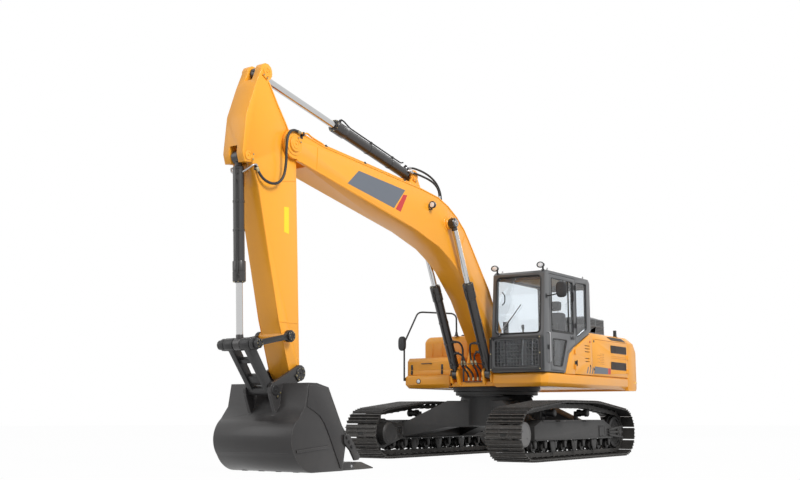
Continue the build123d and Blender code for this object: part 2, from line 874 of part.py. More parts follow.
# tanks on the right, ahead of the pump compartment
tank_front = 150
with BuildPart() as fuel_tank:
    with BuildSketch(across(right_bay)):
        with BuildLine():
            Polyline(
                (roof_front + 4, deck_high),
                (tank_front, deck_high),
                (tank_front, 1960),
                (tank_front - 80, 2060),
                (roof_front + 4, 2060),
                close=True,
            )
        make_face()
    extrude(amount=house_half + right_bay)
    fillet(fuel_tank.edges().filter_by(Axis.X).group_by(Axis.Z)[-1], radius=80)
finish(fuel_tank.part, "fuel_tank")

box_front = 700
box_split = 1450
lid_hinge = (172, 1672)
with BuildPart() as toolbox:
    with BuildSketch(Plane.XY.offset(deck_high)):
        with Locations(((box_front + tank_front) / 2 + 2, (right_bay - house_half) / 2)):
            Rectangle(box_front - tank_front - 4, house_half + right_bay)
    extrude(amount=box_split - deck_high)
    offset(amount=-6, openings=toolbox.faces().sort_by(Axis.Z)[-1])
finish(toolbox.part, "toolbox")

with BuildPart() as toolbox_lid:
    with BuildSketch(Plane.XY.offset(box_split + seal)):
        with Locations(((box_front + tank_front) / 2 + 2, (right_bay - house_half) / 2)):
            Rectangle(box_front - tank_front - 12, house_half + right_bay)
    extrude(amount=1660 - box_split - seal)
    chamfer(toolbox_lid.edges().filter_by(Axis.Y).group_by(Axis.Z)[-1].sort_by(Axis.X)[-1], length=60)
    offset(amount=-6, openings=toolbox_lid.faces().sort_by(Axis.Z)[0])
    # hinge along the rear edge, ahead of the tank
    for y in (-1200, -640):
        with BuildSketch(across(y + hinge_long / 2)):
            with Locations(lid_hinge):
                turned(hinge_radius, 8)
            with Locations((lid_hinge[0] + 20, lid_hinge[1] - 11)):
                Rectangle(44, 10)
        extrude(amount=hinge_long)
finish(toolbox_lid.part, "toolbox_lid")

# ---------------------------------------------------------------- cab
def bevelled(wide, high, corner):
    """Rectangle with its corners cut off, as a rounded pane is drawn here."""
    x, y = wide / 2, high / 2
    Polygon(
        (x - corner, -y), (x, corner - y), (x, y - corner), (x - corner, y),
        (corner - x, y), (-x, y - corner), (-x, corner - y), (corner - x, -y),
        align=None,
    )


door_front = 660
door_rear = -280
door_low = 1400
door_high = 2950
door_thick = 40
# the door's outline, stepping forward over the sloping side panel at its foot
doorway = (
    (door_front, door_low),
    (door_front, door_high),
    (door_rear, door_high),
    (door_rear, 1865),
    (31, 1723),
    (190, door_low),
)
with BuildPart() as cab_frame:
    with BuildSketch(across(cab_left)):
        with BuildLine():
            Polyline(
                (cab_knee_x, cab_low),
                (cab_knee_x, cab_knee_z),
                (cab_brow_x, cab_high - 40),
                (cab_brow_x - 50, cab_high),
                (cab_rear + 60, cab_high),
                (cab_rear, cab_high - 60),
                (cab_rear, 2115),
                (side_door_x[0], 1820),
                (-20, 1690),
                (140, cab_low),
                close=True,
            )
        make_face()
    extrude(amount=cab_left - cab_right)
    # the rear lower corner behind the side panels
    with BuildSketch(across(cab_left - panel - gap)):
        with Locations(((cab_rear + 200) / 2, (cab_low + 2200) / 2)):
            Rectangle(200 - cab_rear, 2200 - cab_low)
    extrude(amount=cab_left - panel - gap - cab_right)
    # hollow inside
    with BuildSketch(across(cab_left - cab_wall)):
        with BuildLine():
            Polyline(
                (cab_knee_x - cab_wall, cab_low + cab_wall),
                (cab_knee_x - cab_wall, cab_knee_z),
                (cab_brow_x - cab_wall, cab_high - cab_wall),
                (cab_rear + cab_wall, cab_high - cab_wall),
                (cab_rear + cab_wall, cab_low + cab_wall),
                close=True,
            )
        make_face()
    extrude(amount=cab_left - cab_right - 2 * cab_wall, mode=Mode.SUBTRACT)
    # front windows, over the middle half of the width
    cab_middle = (cab_left + cab_right) / 2
    window_wide = cab_left - cab_right - 2 * 75
    for low, high in ((1470, 1900), (1995, 2910)):
        with BuildSketch(Plane.YZ.offset(600)):
            with Locations((cab_middle, (low + high) / 2)):
                bevelled(window_wide, high - low, 50)
        extrude(amount=400, mode=Mode.SUBTRACT)
    # rear window
    with BuildSketch(Plane.YZ.offset(cab_rear - 50)):
        with Locations((cab_middle, 2520)):
            bevelled(window_wide, 640, 50)
    extrude(amount=200, mode=Mode.SUBTRACT)
    # right side window
    with BuildSketch(across(cab_right + cab_wall + 20)):
        with BuildLine():
            Polyline((740, 2000), (690, 2900), (-800, 2900), (-800, 2000), close=True)
        make_face()
    extrude(amount=cab_wall + 60, mode=Mode.SUBTRACT)
    # rubber mounts down to the deck
    with BuildSketch(Plane.XY.offset(ring_top + deck_plate)):
        with Locations((cab_knee_x - 150, cab_right + 120), (cab_knee_x - 150, cab_left - 180)):
            turned(60, 8)
        with Locations((cab_rear + 150, cab_right + 120), (cab_rear + 150, cab_left - 180)):
            turned(60, 8)
    extrude(amount=cab_low - ring_top - deck_plate)
    # rear side window and the doorway on the left
    with BuildSketch(across(cab_left + 20)):
        with BuildLine():
            Polyline((-340, 2890), (-740, 2905), (-720, 2140), (-340, 1990), close=True)
        make_face()
    extrude(amount=cab_wall + 40, mode=Mode.SUBTRACT)
    with BuildSketch(across(cab_left)):
        with BuildLine():
            Polyline(*doorway, close=True)
        make_face()
        offset(amount=gap, kind=Kind.INTERSECTION)
    extrude(amount=cab_wall, mode=Mode.SUBTRACT)
    # lip that the closed door bears on
    with BuildSketch(across(cab_left - door_thick - seal)):
        with BuildLine():
            Polyline(*doorway, close=True)
        make_face()
        offset(amount=gap + 4, kind=Kind.INTERSECTION)
    extrude(amount=30)
    with BuildSketch(across(cab_left - door_thick - seal)):
        with BuildLine():
            Polyline(*doorway, close=True)
        make_face()
        offset(amount=-25, kind=Kind.INTERSECTION)
    extrude(amount=30, mode=Mode.SUBTRACT)
finish(cab_frame.part, "cab_frame")

with BuildPart() as cab_door:
    with BuildSketch(across(cab_left)):
        with BuildLine():
            Polyline(*doorway, close=True)
        make_face()
        with BuildLine():
            Polyline((590, 2030), (575, 2880), (-205, 2880), (-205, 2030), close=True)
        make_face(mode=Mode.SUBTRACT)
        with BuildLine():
            Polyline((560, 1480), (560, 1900), (60, 1900), (250, 1480), close=True)
        make_face(mode=Mode.SUBTRACT)
    extrude(amount=door_thick)
finish(cab_door.part, "cab_door")

with BuildPart() as cab_door_window:
    with BuildSketch(across(cab_left - 12)):
        with BuildLine():
            Polyline((589.6, 2030.4), (574.6, 2879.6), (-204.6, 2879.6), (-204.6, 2030.4), close=True)
        make_face()
        with BuildLine():
            Polyline((559.6, 1480.4), (559.6, 1899.6), (60.8, 1899.6), (250.4, 1480.4), close=True)
        make_face()
    extrude(amount=6)
finish(cab_door_window.part, "cab_door_window")

with BuildPart() as cab_windows:
    with BuildSketch(across(cab_right + 26)):
        with BuildLine():
            Polyline((739, 2001), (689, 2899), (-799, 2899), (-799, 2001), close=True)
        make_face()
    extrude(amount=6)
    with BuildSketch(across(cab_left - 12)):
        with BuildLine():
            Polyline((-341, 2889), (-739, 2904), (-719, 2141), (-341, 1991), close=True)
        make_face()
    extrude(amount=6)
    with BuildSketch(Plane.YZ.offset(cab_rear + 18)):
        with Locations((cab_middle, 2520)):
            bevelled(window_wide - 0.6, 639.4, 49.8)
    extrude(amount=6)
    with BuildSketch(Plane.YZ.offset(cab_knee_x - 28)):
        with Locations((cab_middle, 1685)):
            bevelled(window_wide - 0.6, 429.4, 49.8)
    extrude(amount=6)
    lean = math.atan2(cab_knee_x - cab_brow_x, cab_high - 40 - cab_knee_z)
    screen_z = (1995 + 2910) / 2
    screen_x = cab_knee_x - 28 - math.tan(lean) * (screen_z - cab_knee_z)
    screen = Plane(
        origin=(screen_x, cab_middle, screen_z), x_dir=(0, 1, 0), z_dir=(math.cos(lean), 0, math.sin(lean))
    )
    with BuildSketch(screen):
        bevelled(window_wide - 0.6, 914 / math.cos(lean), 50)
    extrude(amount=6)
finish(cab_windows.part, "cab_windows")

with BuildPart() as seat:
    with BuildSketch(Plane.XY.offset(cab_low + cab_wall)):
        with Locations((-150, cab_middle)):
            Rectangle(420, 420)
    extrude(amount=330)
    with BuildSketch(Plane.XY.offset(cab_low + cab_wall + 330)):
        with Locations((-120, cab_middle)):
            bevelled(520, 500, 60)
    extrude(amount=130)
    with BuildSketch(across(cab_middle + 240)):
        with BuildLine():
            Polyline((-300, 1880), (-400, 2620), (-500, 2620), (-420, 1800), (-300, 1800), close=True)
        make_face()
    extrude(amount=480)
finish(seat.part, "seat")

with BuildPart() as cab_guard:
    with BuildSketch(Plane.YZ.offset(cab_knee_x + 45)):
        with Locations((876, 1665)):
            bevelled(930, 545, 25)
            Rectangle(855, 470, mode=Mode.SUBTRACT)
    extrude(amount=35)
    # stand-offs to the cab's front
    with BuildSketch(Plane.YZ.offset(cab_knee_x)):
        with Locations((480, 1420), (480, 1900), (1290, 1420), (1290, 1900)):
            Rectangle(30, 30)
    extrude(amount=45)
finish(cab_guard.part, "cab_guard")

def tube(route, radius, sides=8):
    """A pipe or rail along straight runs with mitred bends."""
    with BuildPart(mode=Mode.PRIVATE) as pipe:
        with BuildLine() as line:
            Polyline(*route)
        with BuildSketch(Plane(origin=line.line @ 0, z_dir=line.line % 0)):
            turned(radius, sides)
        sweep(transition=Transition.RIGHT)
    return pipe.part


# operator's controls: a console each side of the seat with a joystick, and the travel levers
with BuildPart() as consoles:
    for side in (-1, 1):
        y = cab_middle + side * 310
        with BuildSketch(across(y + 55)):
            with BuildLine():
                Polyline(
                    (-330, cab_low + cab_wall),
                    (60, cab_low + cab_wall),
                    (150, 1980),
                    (120, 2040),
                    (-330, 2000),
                    close=True,
                )
            make_face()
        extrude(amount=110)
        with BuildSketch(Plane.XY.offset(2020)):
            with Locations((90, y)):
                turned(22, 8)
        extrude(amount=170)
    for side in (-1, 1):
        with BuildSketch(Plane.XY.offset(cab_low + cab_wall)):
            with Locations((560, cab_middle + side * 90)):
                Rectangle(24, 24)
        extrude(amount=620)
        with BuildSketch(Plane.XY.offset(cab_low + cab_wall)):
            with Locations((600, cab_middle + side * 90)):
                Rectangle(200, 110)
        extrude(amount=60)
finish(consoles.part, "consoles")

rail = 15                     # radius of the grab rails
rail_out = 26                 # a rail stands this far out of the wall
with BuildPart() as handrails:
    rail_y_right = -house_half - rail_out
    add(
        tube(
            (
                (deck_front_right, rail_y_right, 1290),
                (deck_front_right, rail_y_right, 1926),
                (323, rail_y_right, 2516),
                (100, -800, 2470),
                (100, -730, 2060.3),
            ),
            rail,
        )
    )
    # foot plate on the deck's side
    with BuildSketch(across(-house_half - seal)):
        with Locations((deck_front_right - 30, 1300)):
            Rectangle(90, 60)
    extrude(amount=rail_out)
finish(handrails.part, "handrails")

with BuildPart() as mirrors:
    # right mirror, clamped to the grab rail, and left mirror on an arm from the cab's pillar
    for x, y, z, wide, high in ((deck_front_right + 22, rail_y_right - 20, 1915, 150, 250), (742, 1620, 2667, 190, 260)):
        with BuildSketch(Plane.YZ.offset(x)):
            with Locations((y, z)):
                bevelled(wide, high, 22)
        extrude(amount=45)
    with Locations((deck_front_right + rail + 4, rail_y_right, 1915)):
        Box(8, 26, 60)
    add(tube(((765, cab_left + 1.25, 2580), (765, 1560, 2600)), 12, 6))
finish(mirrors.part, "mirrors")


def lamp(x, y, z, radius):
    """A round work lamp that faces forward, on its bracket; the lens closes its front."""
    with BuildPart(mode=Mode.PRIVATE) as body:
        with BuildSketch(Plane.YZ.offset(x - 70)):
            with Locations((y, z)):
                turned(radius, 8)
        extrude(amount=70)
    return body.part


with BuildPart() as cab_lamps:
    for y in (470, 1306):
        add(lamp(860, y, 3072, 50))
        with BuildSketch(Plane.XY.offset(cab_high + 0.3)):
            with Locations((770, y)):
                Rectangle(60, 30)
        extrude(amount=3050 - cab_high)
        with Locations((790, y, 3050)):
            Box(60, 24, 20)
finish(cab_lamps.part, "cab_lamps")

# ---------------------------------------------------------------- boom
with BuildPart() as boom:
    with BuildSketch(across(boom_half)):
        with BuildLine():
            Polyline(
                (5500, 4362),
                (5080, 4290),
                (2650, 4135),
                (2170, 4080),
                (1880, 3985),
                (1620, 3850),
                (1380, 3670),
                (1200, 3470),
                (600, 2760),
                (140, 2000),
                (140, 1780),
                (300, 1690),
                (480, 1730),
                (1120, 2560),
                (1590, 2980),
                (1860, 3140),
                (2170, 3285),
                (2830, 3465),
                (3700, 3630),
                (5620, 3975),
                close=True,
            )
        make_face()
        with Locations(boom_tip):
            turned(195, 20)
    extrude(amount=2 * boom_half)
    # hollow box section between the foot's and the tip's castings
    with BuildSketch(across(boom_half - side_plate)):
        with BuildLine():
            Polyline(
                (5250, 4275),
                (5080, 4262),
                (2650, 4108),
                (2170, 4052),
                (1890, 3960),
                (1635, 3825),
                (1400, 3650),
                (1225, 3455),
                (640, 2765),
                (330, 2270),
                (640, 2010),
                (1100, 2595),
                (1575, 3012),
                (1850, 3172),
                (2165, 3315),
                (2825, 3495),
                (3695, 3660),
                (5250, 3938),
                close=True,
            )
        make_face()
    extrude(amount=2 * boom_half - 2 * side_plate, mode=Mode.SUBTRACT)
    with BuildSketch(across(boom_half)):
        with Locations(boom_foot):
            turned(pin_radius + pin_clear)
    extrude(amount=2 * boom_half, mode=Mode.SUBTRACT)
    # slot at the tip for the arm
    with BuildSketch(across(arm_half + 8)):
        with Locations((boom_tip[0] + 20, boom_tip[1])):
            Rectangle(620, 900)
    extrude(amount=2 * arm_half + 16, mode=Mode.SUBTRACT)
    # lugs for the arm cylinder's foot
    for low in (-95, 60):
        with BuildSketch(across(low + 35)):
            with BuildLine():
                Polyline((2440, 4100), (2860, 4130), (2735, 4300), (2575, 4300), close=True)
            make_face()
            with Locations(arm_base_pin):
                turned(90, 12)
        extrude(amount=35)
    # bosses at the boom cylinders' rods, and the pins of the arm and its cylinder
    for sign in (1, -1):
        with BuildSketch(across(sign * boom_half)):
            with Locations(boom_rod_pin):
                turned(85, 12)
        extrude(amount=-sign * (boom_cylinder_y - 54 - boom_half))
        with BuildSketch(across(sign * boom_half)):
            with Locations(boom_tip):
                turned(62, 12)
        extrude(amount=-sign * 25)
    with BuildSketch(across(arm_half + 8)):
        with Locations(boom_tip):
            Circle(pin_radius)
    extrude(amount=2 * arm_half + 16)
    with BuildSketch(across(60)):
        with Locations(arm_base_pin):
            small_pin()
    extrude(amount=120)
finish(boom.part, "boom")

boom_pipe_y = (155, 190)
with BuildPart() as boom_pipes:
    # two steel lines to the arm's cylinder side, clamped to the boom's top plate
    for y in boom_pipe_y:
        add(tube(((2930, y, 4169.5), (5060, y, 4305)), 13, 6))
    for x, z in ((3100, 4163.7), (4100, 4227.5), (5000, 4284.9)):
        with BuildSketch(across(boom_pipe_y[1] + 18)):
            with Locations(Location((x, z + 10.4), 3.65)):
                Rectangle(60, 20)
        extrude(amount=boom_pipe_y[1] - boom_pipe_y[0] + 36)
finish(boom_pipes.part, "boom_pipes")

with BuildPart() as boom_lamp:
    add(lamp(2470, boom_half + 70, 3900, 58))
    with Locations((2420, boom_half + 20.3, 3850)):
        Box(50, 40, 50)
finish(boom_lamp.part, "boom_lamp")

with BuildPart() as arm:
    with BuildSketch(across(arm_half)):
        with BuildLine():
            Polyline(
                (6150, 4930),
                (5960, 4660),
                (5790, 4440),
                (5590, 4130),
                (5580, 3970),
                (5450, 1330),
                (5420, 1200),
                (5500, 1110),
                (5590, 1145),
                (5645, 1225),
                (5870, 1880),
                (6080, 2640),
                (6300, 3500),
                (6420, 3800),
                (6560, 3780),
                (6600, 3900),
                (6550, 4390),
                (6400, 4800),
                (6300, 5030),
                close=True,
            )
        make_face()
        with Locations(arm_rod_pin):
            turned(110, 12)
    extrude(amount=2 * arm_half)
    # hollow box section
    with BuildSketch(across(arm_half - side_plate)):
        with BuildLine():
            Polyline(
                (5650, 3900),
                (5545, 1900),
                (5800, 1900),
                (6050, 2640),
                (6210, 3260),
                (6210, 3900),
                close=True,
            )
        make_face()
    extrude(amount=2 * arm_half - 2 * side_plate, mode=Mode.SUBTRACT)
    with BuildSketch(across(arm_half)):
        with Locations(boom_tip, bucket_pin):
            turned(pin_radius + pin_clear)
    extrude(amount=2 * arm_half, mode=Mode.SUBTRACT)
    with BuildSketch(across(60)):
        with Locations(arm_rod_pin):
            turned(205, 12)
        with Locations(bucket_base_pin):
            turned(150, 12)
        with BuildLine():
            Polyline((6380, 3870), (6800, 3870), (6800, 3200), (6240, 3200), close=True)
        make_face()
    extrude(amount=120, mode=Mode.SUBTRACT)
    # pins of the bucket cylinder's foot and of the tipping links, and the links' bosses
    with BuildSketch(across(link_y - 0.5)):
        with Locations(link_pin_arm):
            turned(70, 12)
    extrude(amount=2 * link_y - 1)
    for where, half in ((bucket_base_pin, 60), (link_pin_arm, link_y + link_thick + 12)):
        with BuildSketch(across(half)):
            with Locations(where):
                small_pin()
        extrude(amount=2 * half)
finish(arm.part, "arm")

# ---------------------------------------------------------------- cylinders
# name, foot pin, rod pin, y, barrel end from the foot, rod length, barrel radius, rod radius, eye half width
cylinders = (
    ("boom_cylinder_left", boom_base_pin, boom_rod_pin, boom_cylinder_y, 1575, 1800, 76, 45, 50),
    ("boom_cylinder_right", boom_base_pin, boom_rod_pin, -boom_cylinder_y, 1575, 1800, 76, 45, 50),
    ("arm_cylinder", arm_base_pin, arm_rod_pin, 0, 1975, 2180, 82, 50, 55),
    ("bucket_cylinder", bucket_base_pin, link_pin_mid, 0, 1577, 1640, 70, 42, 55),
)
for name, foot, eye, y, barrel_end, rod_length, barrel_r, rod_r, eye_half in cylinders:
    reach = distance(foot, eye)
    base = along(foot, eye, y)
    with BuildPart() as barrel:
        with BuildSketch(base.offset(120)):
            turned(barrel_r)
        extrude(amount=barrel_end - 120)
        with BuildSketch(base.offset(barrel_end - 270)):
            turned(barrel_r + 12)
        extrude(amount=255)
        # foot: a neck and an eye across it
        with BuildSketch(base):
            Rectangle(2 * eye_half - 4, 2 * eye_half)
        extrude(amount=125)
        with BuildSketch(across(y + eye_half)):
            with Locations(foot):
                turned(82)
        extrude(amount=2 * eye_half)
        with BuildSketch(across(y + eye_half)):
            with Locations(foot):
                turned(pin_radius + pin_clear)
        extrude(amount=2 * eye_half, mode=Mode.SUBTRACT)
        with BuildSketch(base.offset(140)):
            turned(rod_r + 0.5)
        extrude(amount=barrel_end, mode=Mode.SUBTRACT)
    finish(barrel.part, f"{name}_barrel")
    with BuildPart() as rod:
        with BuildSketch(base.offset(reach - rod_length)):
            turned(rod_r)
        extrude(amount=rod_length - 60)
        with BuildSketch(across(y + eye_half)):
            with Locations(eye):
                turned(80)
        extrude(amount=2 * eye_half)
    finish(rod.part, f"{name}_rod")

# ---------------------------------------------------------------- bucket linkage
with BuildPart() as tipping_links:
    for sign in (1, -1):
        low = sign * (link_y + link_thick / 2) - link_thick / 2
        with BuildSketch(across(low + link_thick)):
            with Locations(link_pin_arm, link_pin_mid):
                turned(75)
            with BuildLine():
                dx = link_pin_mid[0] - link_pin_arm[0]
                dz = link_pin_mid[1] - link_pin_arm[1]
                size = math.hypot(dx, dz)
                ox, oz = -dz / size * 34, dx / size * 34
                Polyline(
                    (link_pin_arm[0] + ox, link_pin_arm[1] + oz),
                    (link_pin_mid[0] + ox, link_pin_mid[1] + oz),
                    (link_pin_mid[0] - ox, link_pin_mid[1] - oz),
                    (link_pin_arm[0] - ox, link_pin_arm[1] - oz),
                    close=True,
                )
            make_face()
            with Locations(link_pin_arm, link_pin_mid):
                turned(pin_radius + pin_clear, mode=Mode.SUBTRACT)
        extrude(amount=link_thick)
finish(tipping_links.part, "tipping_links")

with BuildPart() as bucket_link:
    for low in (-205, 65):
        with BuildSketch(across(low + 140)):
            with Locations(link_pin_mid):
                turned(78)
        extrude(amount=140)
    # pins that carry the two tipping links
    for sign in (1, -1):
        low = sign * (link_y + link_thick / 2 + 10) - 80
        with BuildSketch(across(low + 160)):
            with Locations(link_pin_mid):
                small_pin()
        extrude(amount=160)
    with BuildSketch(across(175)):
        with Locations(link_pin_bucket):
            turned(62)
    extrude(amount=350)
    for low in (-165, 95):
        with BuildSketch(across(low + 70)):
            with BuildLine():
                dx = link_pin_bucket[0] - link_pin_mid[0]
                dz = link_pin_bucket[1] - link_pin_mid[1]
                size = math.hypot(dx, dz)
                ox, oz = -dz / size * 65, dx / size * 65
                Polyline(
                    (link_pin_mid[0] + ox, link_pin_mid[1] + oz),
                    (link_pin_bucket[0] + ox * 0.8, link_pin_bucket[1] + oz * 0.8),
                    (link_pin_bucket[0] - ox * 0.8, link_pin_bucket[1] - oz * 0.8),
                    (link_pin_mid[0] - ox, link_pin_mid[1] - oz),
                    close=True,
                )
            make_face()
        extrude(amount=70)
finish(bucket_link.part, "bucket_link")

# ---------------------------------------------------------------- bucket
bucket_wall = 25
ear_inner = 180
ear_plate = 45
with BuildPart() as bucket:
    with BuildSketch(across(bucket_half)):
        with BuildLine():
            Polyline((5675, 1085), (5840, 1085), (5893, 800), (6020, 644))
            ThreePointArc((6020, 644), (6145, 420), (6070, 200))
            ThreePointArc((6070, 200), (5920, 50), (5690, 0))
            Polyline((5690, 0), (5140, 0), (5140, 26), (5055, 450), (5160, 560), (5444, 1036), (5675, 1085))
        make_face()
    extrude(amount=2 * bucket_half)
    offset_inner = bucket_half - bucket_wall
    with BuildSketch(across(offset_inner)):
        with BuildLine():
            Polyline((5675, 1060), (5815, 1060), (5868, 790), (5997, 630))
            ThreePointArc((5997, 630), (6118, 420), (6045, 213))
            ThreePointArc((6045, 213), (5905, 76), (5690, 26))
            Polyline((5690, 26), (4900, 26), (4900, 1060), (5675, 1060))
        make_face()
    extrude(amount=2 * offset_inner, mode=Mode.SUBTRACT)
    # hinge ears
    for low in (-ear_inner - ear_plate, ear_inner):
        with BuildSketch(across(low + ear_plate)):
            with Locations(bucket_pin):
                turned(100)
            with Locations(link_pin_bucket):
                turned(95)
            with BuildLine():
                Polyline((5440, 1140), (5560, 1300), (6040, 1070), (6060, 930), (5960, 700), (5850, 800), (5810, 1080), (5600, 1080), close=True)
            make_face()
        extrude(amount=ear_plate)
    # the pin through the arm's end
    with BuildSketch(across(ear_inner)):
        with Locations(bucket_pin):
            Circle(pin_radius)
    extrude(amount=2 * ear_inner)
finish(bucket.part, "bucket")

with BuildPart() as bucket_teeth:
    for k in range(5):
        y = (k - 2) * (bucket_half - bucket_wall - 62) / 2
        with BuildSketch(across(y + 60)):
            with BuildLine():
                Polyline((5140, 0), (4400, 0), (4700, 95), (5140, 80), close=True)
            make_face()
        extrude(amount=120)
finish(bucket_teeth.part, "bucket_teeth")
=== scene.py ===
"""Looks of the crawler excavator: finishes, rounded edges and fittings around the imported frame."""
import json
import math

import bmesh
import bpy
from mathutils import Matrix, Vector


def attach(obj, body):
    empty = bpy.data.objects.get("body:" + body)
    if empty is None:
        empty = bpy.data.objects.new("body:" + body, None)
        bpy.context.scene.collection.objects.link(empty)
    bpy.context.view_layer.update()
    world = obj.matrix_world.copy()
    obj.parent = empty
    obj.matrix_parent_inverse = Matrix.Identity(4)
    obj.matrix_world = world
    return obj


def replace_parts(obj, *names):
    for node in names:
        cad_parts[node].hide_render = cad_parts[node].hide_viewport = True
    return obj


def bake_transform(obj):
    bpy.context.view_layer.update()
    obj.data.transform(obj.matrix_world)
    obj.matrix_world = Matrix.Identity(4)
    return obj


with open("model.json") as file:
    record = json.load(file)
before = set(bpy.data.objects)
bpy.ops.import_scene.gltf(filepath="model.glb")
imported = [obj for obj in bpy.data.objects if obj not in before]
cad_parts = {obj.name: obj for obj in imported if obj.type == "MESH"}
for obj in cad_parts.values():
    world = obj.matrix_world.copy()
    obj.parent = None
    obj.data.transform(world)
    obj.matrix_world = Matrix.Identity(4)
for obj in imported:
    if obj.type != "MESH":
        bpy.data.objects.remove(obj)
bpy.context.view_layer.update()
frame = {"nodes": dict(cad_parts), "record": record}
scene = bpy.context.scene
bpy.ops.object.select_all(action="DESELECT")


# ---------------------------------------------------------------- camera, floor and light
def place_camera():
    """Low standpoint ahead and to the left of the machine, a little under half its height."""
    yaw, pitch = math.radians(34.34), math.radians(9.44)
    data = bpy.data.cameras.new("camera")
    data.sensor_width = 36
    data.lens = 47.43
    data.clip_end = 200
    camera = bpy.data.objects.new("camera", data)
    camera.location = (15.9307, 8.8858, 0.6908)
    camera.rotation_euler = (math.pi / 2 + pitch, 0, math.pi / 2 + yaw)
    scene.collection.objects.link(camera)
    scene.camera = camera


def area_light(name, place, target, size, power):
    data = bpy.data.lights.new(name, "AREA")
    data.size = size
    data.energy = power
    lamp = bpy.data.objects.new(name, data)
    lamp.location = place
    lamp.rotation_euler = (Vector(target) - Vector(place)).to_track_quat("-Z", "Y").to_euler()
    scene.collection.objects.link(lamp)


def wire(tree, *pairs):
    """Links from sockets to sockets."""
    for source, target in pairs:
        tree.links.new(source, target)


def white_rays(tree):
    """1 for the rays that see plain white around them: straight, mirrored and through glass."""
    path = tree.nodes.new("ShaderNodeLightPath")
    total = path.outputs["Is Camera Ray"]
    for kind in ("Is Glossy Ray", "Is Transmission Ray"):
        add = tree.nodes.new("ShaderNodeMath")
        add.operation = "ADD"
        add.use_clamp = True
        wire(tree, (total, add.inputs[0]), (path.outputs[kind], add.inputs[1]))
        total = add.outputs[0]
    return total


def light_the_studio():
    world = bpy.data.worlds.new("studio")
    scene.world = world
    world.use_nodes = True
    tree = world.node_tree
    tree.nodes.clear()
    seen = white_rays(tree)
    soft = tree.nodes.new("ShaderNodeBackground")
    soft.inputs["Color"].default_value = (0.93, 0.96, 1.0, 1)
    soft.inputs["Strength"].default_value = 0.5
    white = tree.nodes.new("ShaderNodeBackground")
    white.inputs["Color"].default_value = (1, 1, 1, 1)
    mix = tree.nodes.new("ShaderNodeMixShader")
    out = tree.nodes.new("ShaderNodeOutputWorld")
    wire(tree, (seen, mix.inputs[0]), (soft.outputs[0], mix.inputs[1]),
         (white.outputs[0], mix.inputs[2]), (mix.outputs[0], out.inputs[0]))
    area_light("key", (9, 16, 15), (2, 0, 2), 7, 3700)
    area_light("fill", (16, -9, 8), (2, 0, 2), 9, 380)
    area_light("rim", (-13, -4, 10), (0, 0, 2), 8, 900)


def lay_the_floor():
    """White floor that shows as paper white and still takes the machine's soft shadow."""
    bpy.ops.mesh.primitive_circle_add(vertices=64, radius=60, fill_type="NGON", location=(0, 0, 0))
    floor = bpy.context.active_object
    floor.name = "studio_floor"
    bpy.ops.object.transform_apply(location=True, rotation=True, scale=True)
    material = bpy.data.materials.new("studio_paper")
    material.use_nodes = True
    tree = material.node_tree
    tree.nodes.clear()
    matte = tree.nodes.new("ShaderNodeBsdfDiffuse")
    matte.inputs["Color"].default_value = (0.55, 0.55, 0.55, 1)
    glow = tree.nodes.new("ShaderNodeEmission")
    glow.inputs["Color"].default_value = (1, 1, 1, 1)
    glow.inputs["Strength"].default_value = 1.0
    share = tree.nodes.new("ShaderNodeMath")
    share.operation = "MULTIPLY"
    share.inputs[1].default_value = 0.98
    mix = tree.nodes.new("ShaderNodeMixShader")
    out = tree.nodes.new("ShaderNodeOutputMaterial")
    wire(tree, (white_rays(tree), share.inputs[0]), (share.outputs[0], mix.inputs[0]),
         (matte.outputs[0], mix.inputs[1]), (glow.outputs[0], mix.inputs[2]),
         (mix.outputs[0], out.inputs[0]))
    floor.data.materials.append(material)


place_camera()
light_the_studio()
lay_the_floor()
scene.view_settings.view_transform = "Standard"


# ---------------------------------------------------------------- effects shared by the finishes
def new_group(name, inputs, outputs):
    """Empty node group.  Inputs are given as name and value, outputs as name and kind."""
    group = bpy.data.node_groups.new(name, "ShaderNodeTree")
    for label, value in inputs.items():
        kind = "Color" if isinstance(value, tuple) else "Float"
        socket = group.interface.new_socket(label, in_out="INPUT", socket_type="NodeSocket" + kind)
        socket.default_value = value
    for label, kind in outputs.items():
        group.interface.new_socket(label, in_out="OUTPUT", socket_type="NodeSocket" + kind)
    place = group.nodes.new("ShaderNodeTexCoord").outputs["Object"]
    return group, group.nodes.new("NodeGroupInput"), group.nodes.new("NodeGroupOutput"), place


def math_node(tree, operation, a=None, b=None, clamp=False):
    node = tree.nodes.new("ShaderNodeMath")
    node.operation = operation
    node.use_clamp = clamp
    for slot, value in ((0, a), (1, b)):
        if value is None:
            continue
        if isinstance(value, (int, float)):
            node.inputs[slot].default_value = value
        else:
            tree.links.new(value, node.inputs[slot])
    return node.outputs[0]


def times(tree, a, b, clamp=False):
    return math_node(tree, "MULTIPLY", a, b, clamp)


def plus(tree, a, b, clamp=False):
    return math_node(tree, "ADD", a, b, clamp)


def minus(tree, a, b, clamp=False):
    return math_node(tree, "SUBTRACT", a, b, clamp)


def noise(tree, coordinates, scale, detail=3.0, rough=0.5):
    node = tree.nodes.new("ShaderNodeTexNoise")
    node.inputs["Detail"].default_value = detail
    node.inputs["Roughness"].default_value = rough
    if isinstance(scale, (int, float)):
        node.inputs["Scale"].default_value = scale
    else:
        tree.links.new(scale, node.inputs["Scale"])
    tree.links.new(coordinates, node.inputs["Vector"])
    return node.outputs["Fac"]


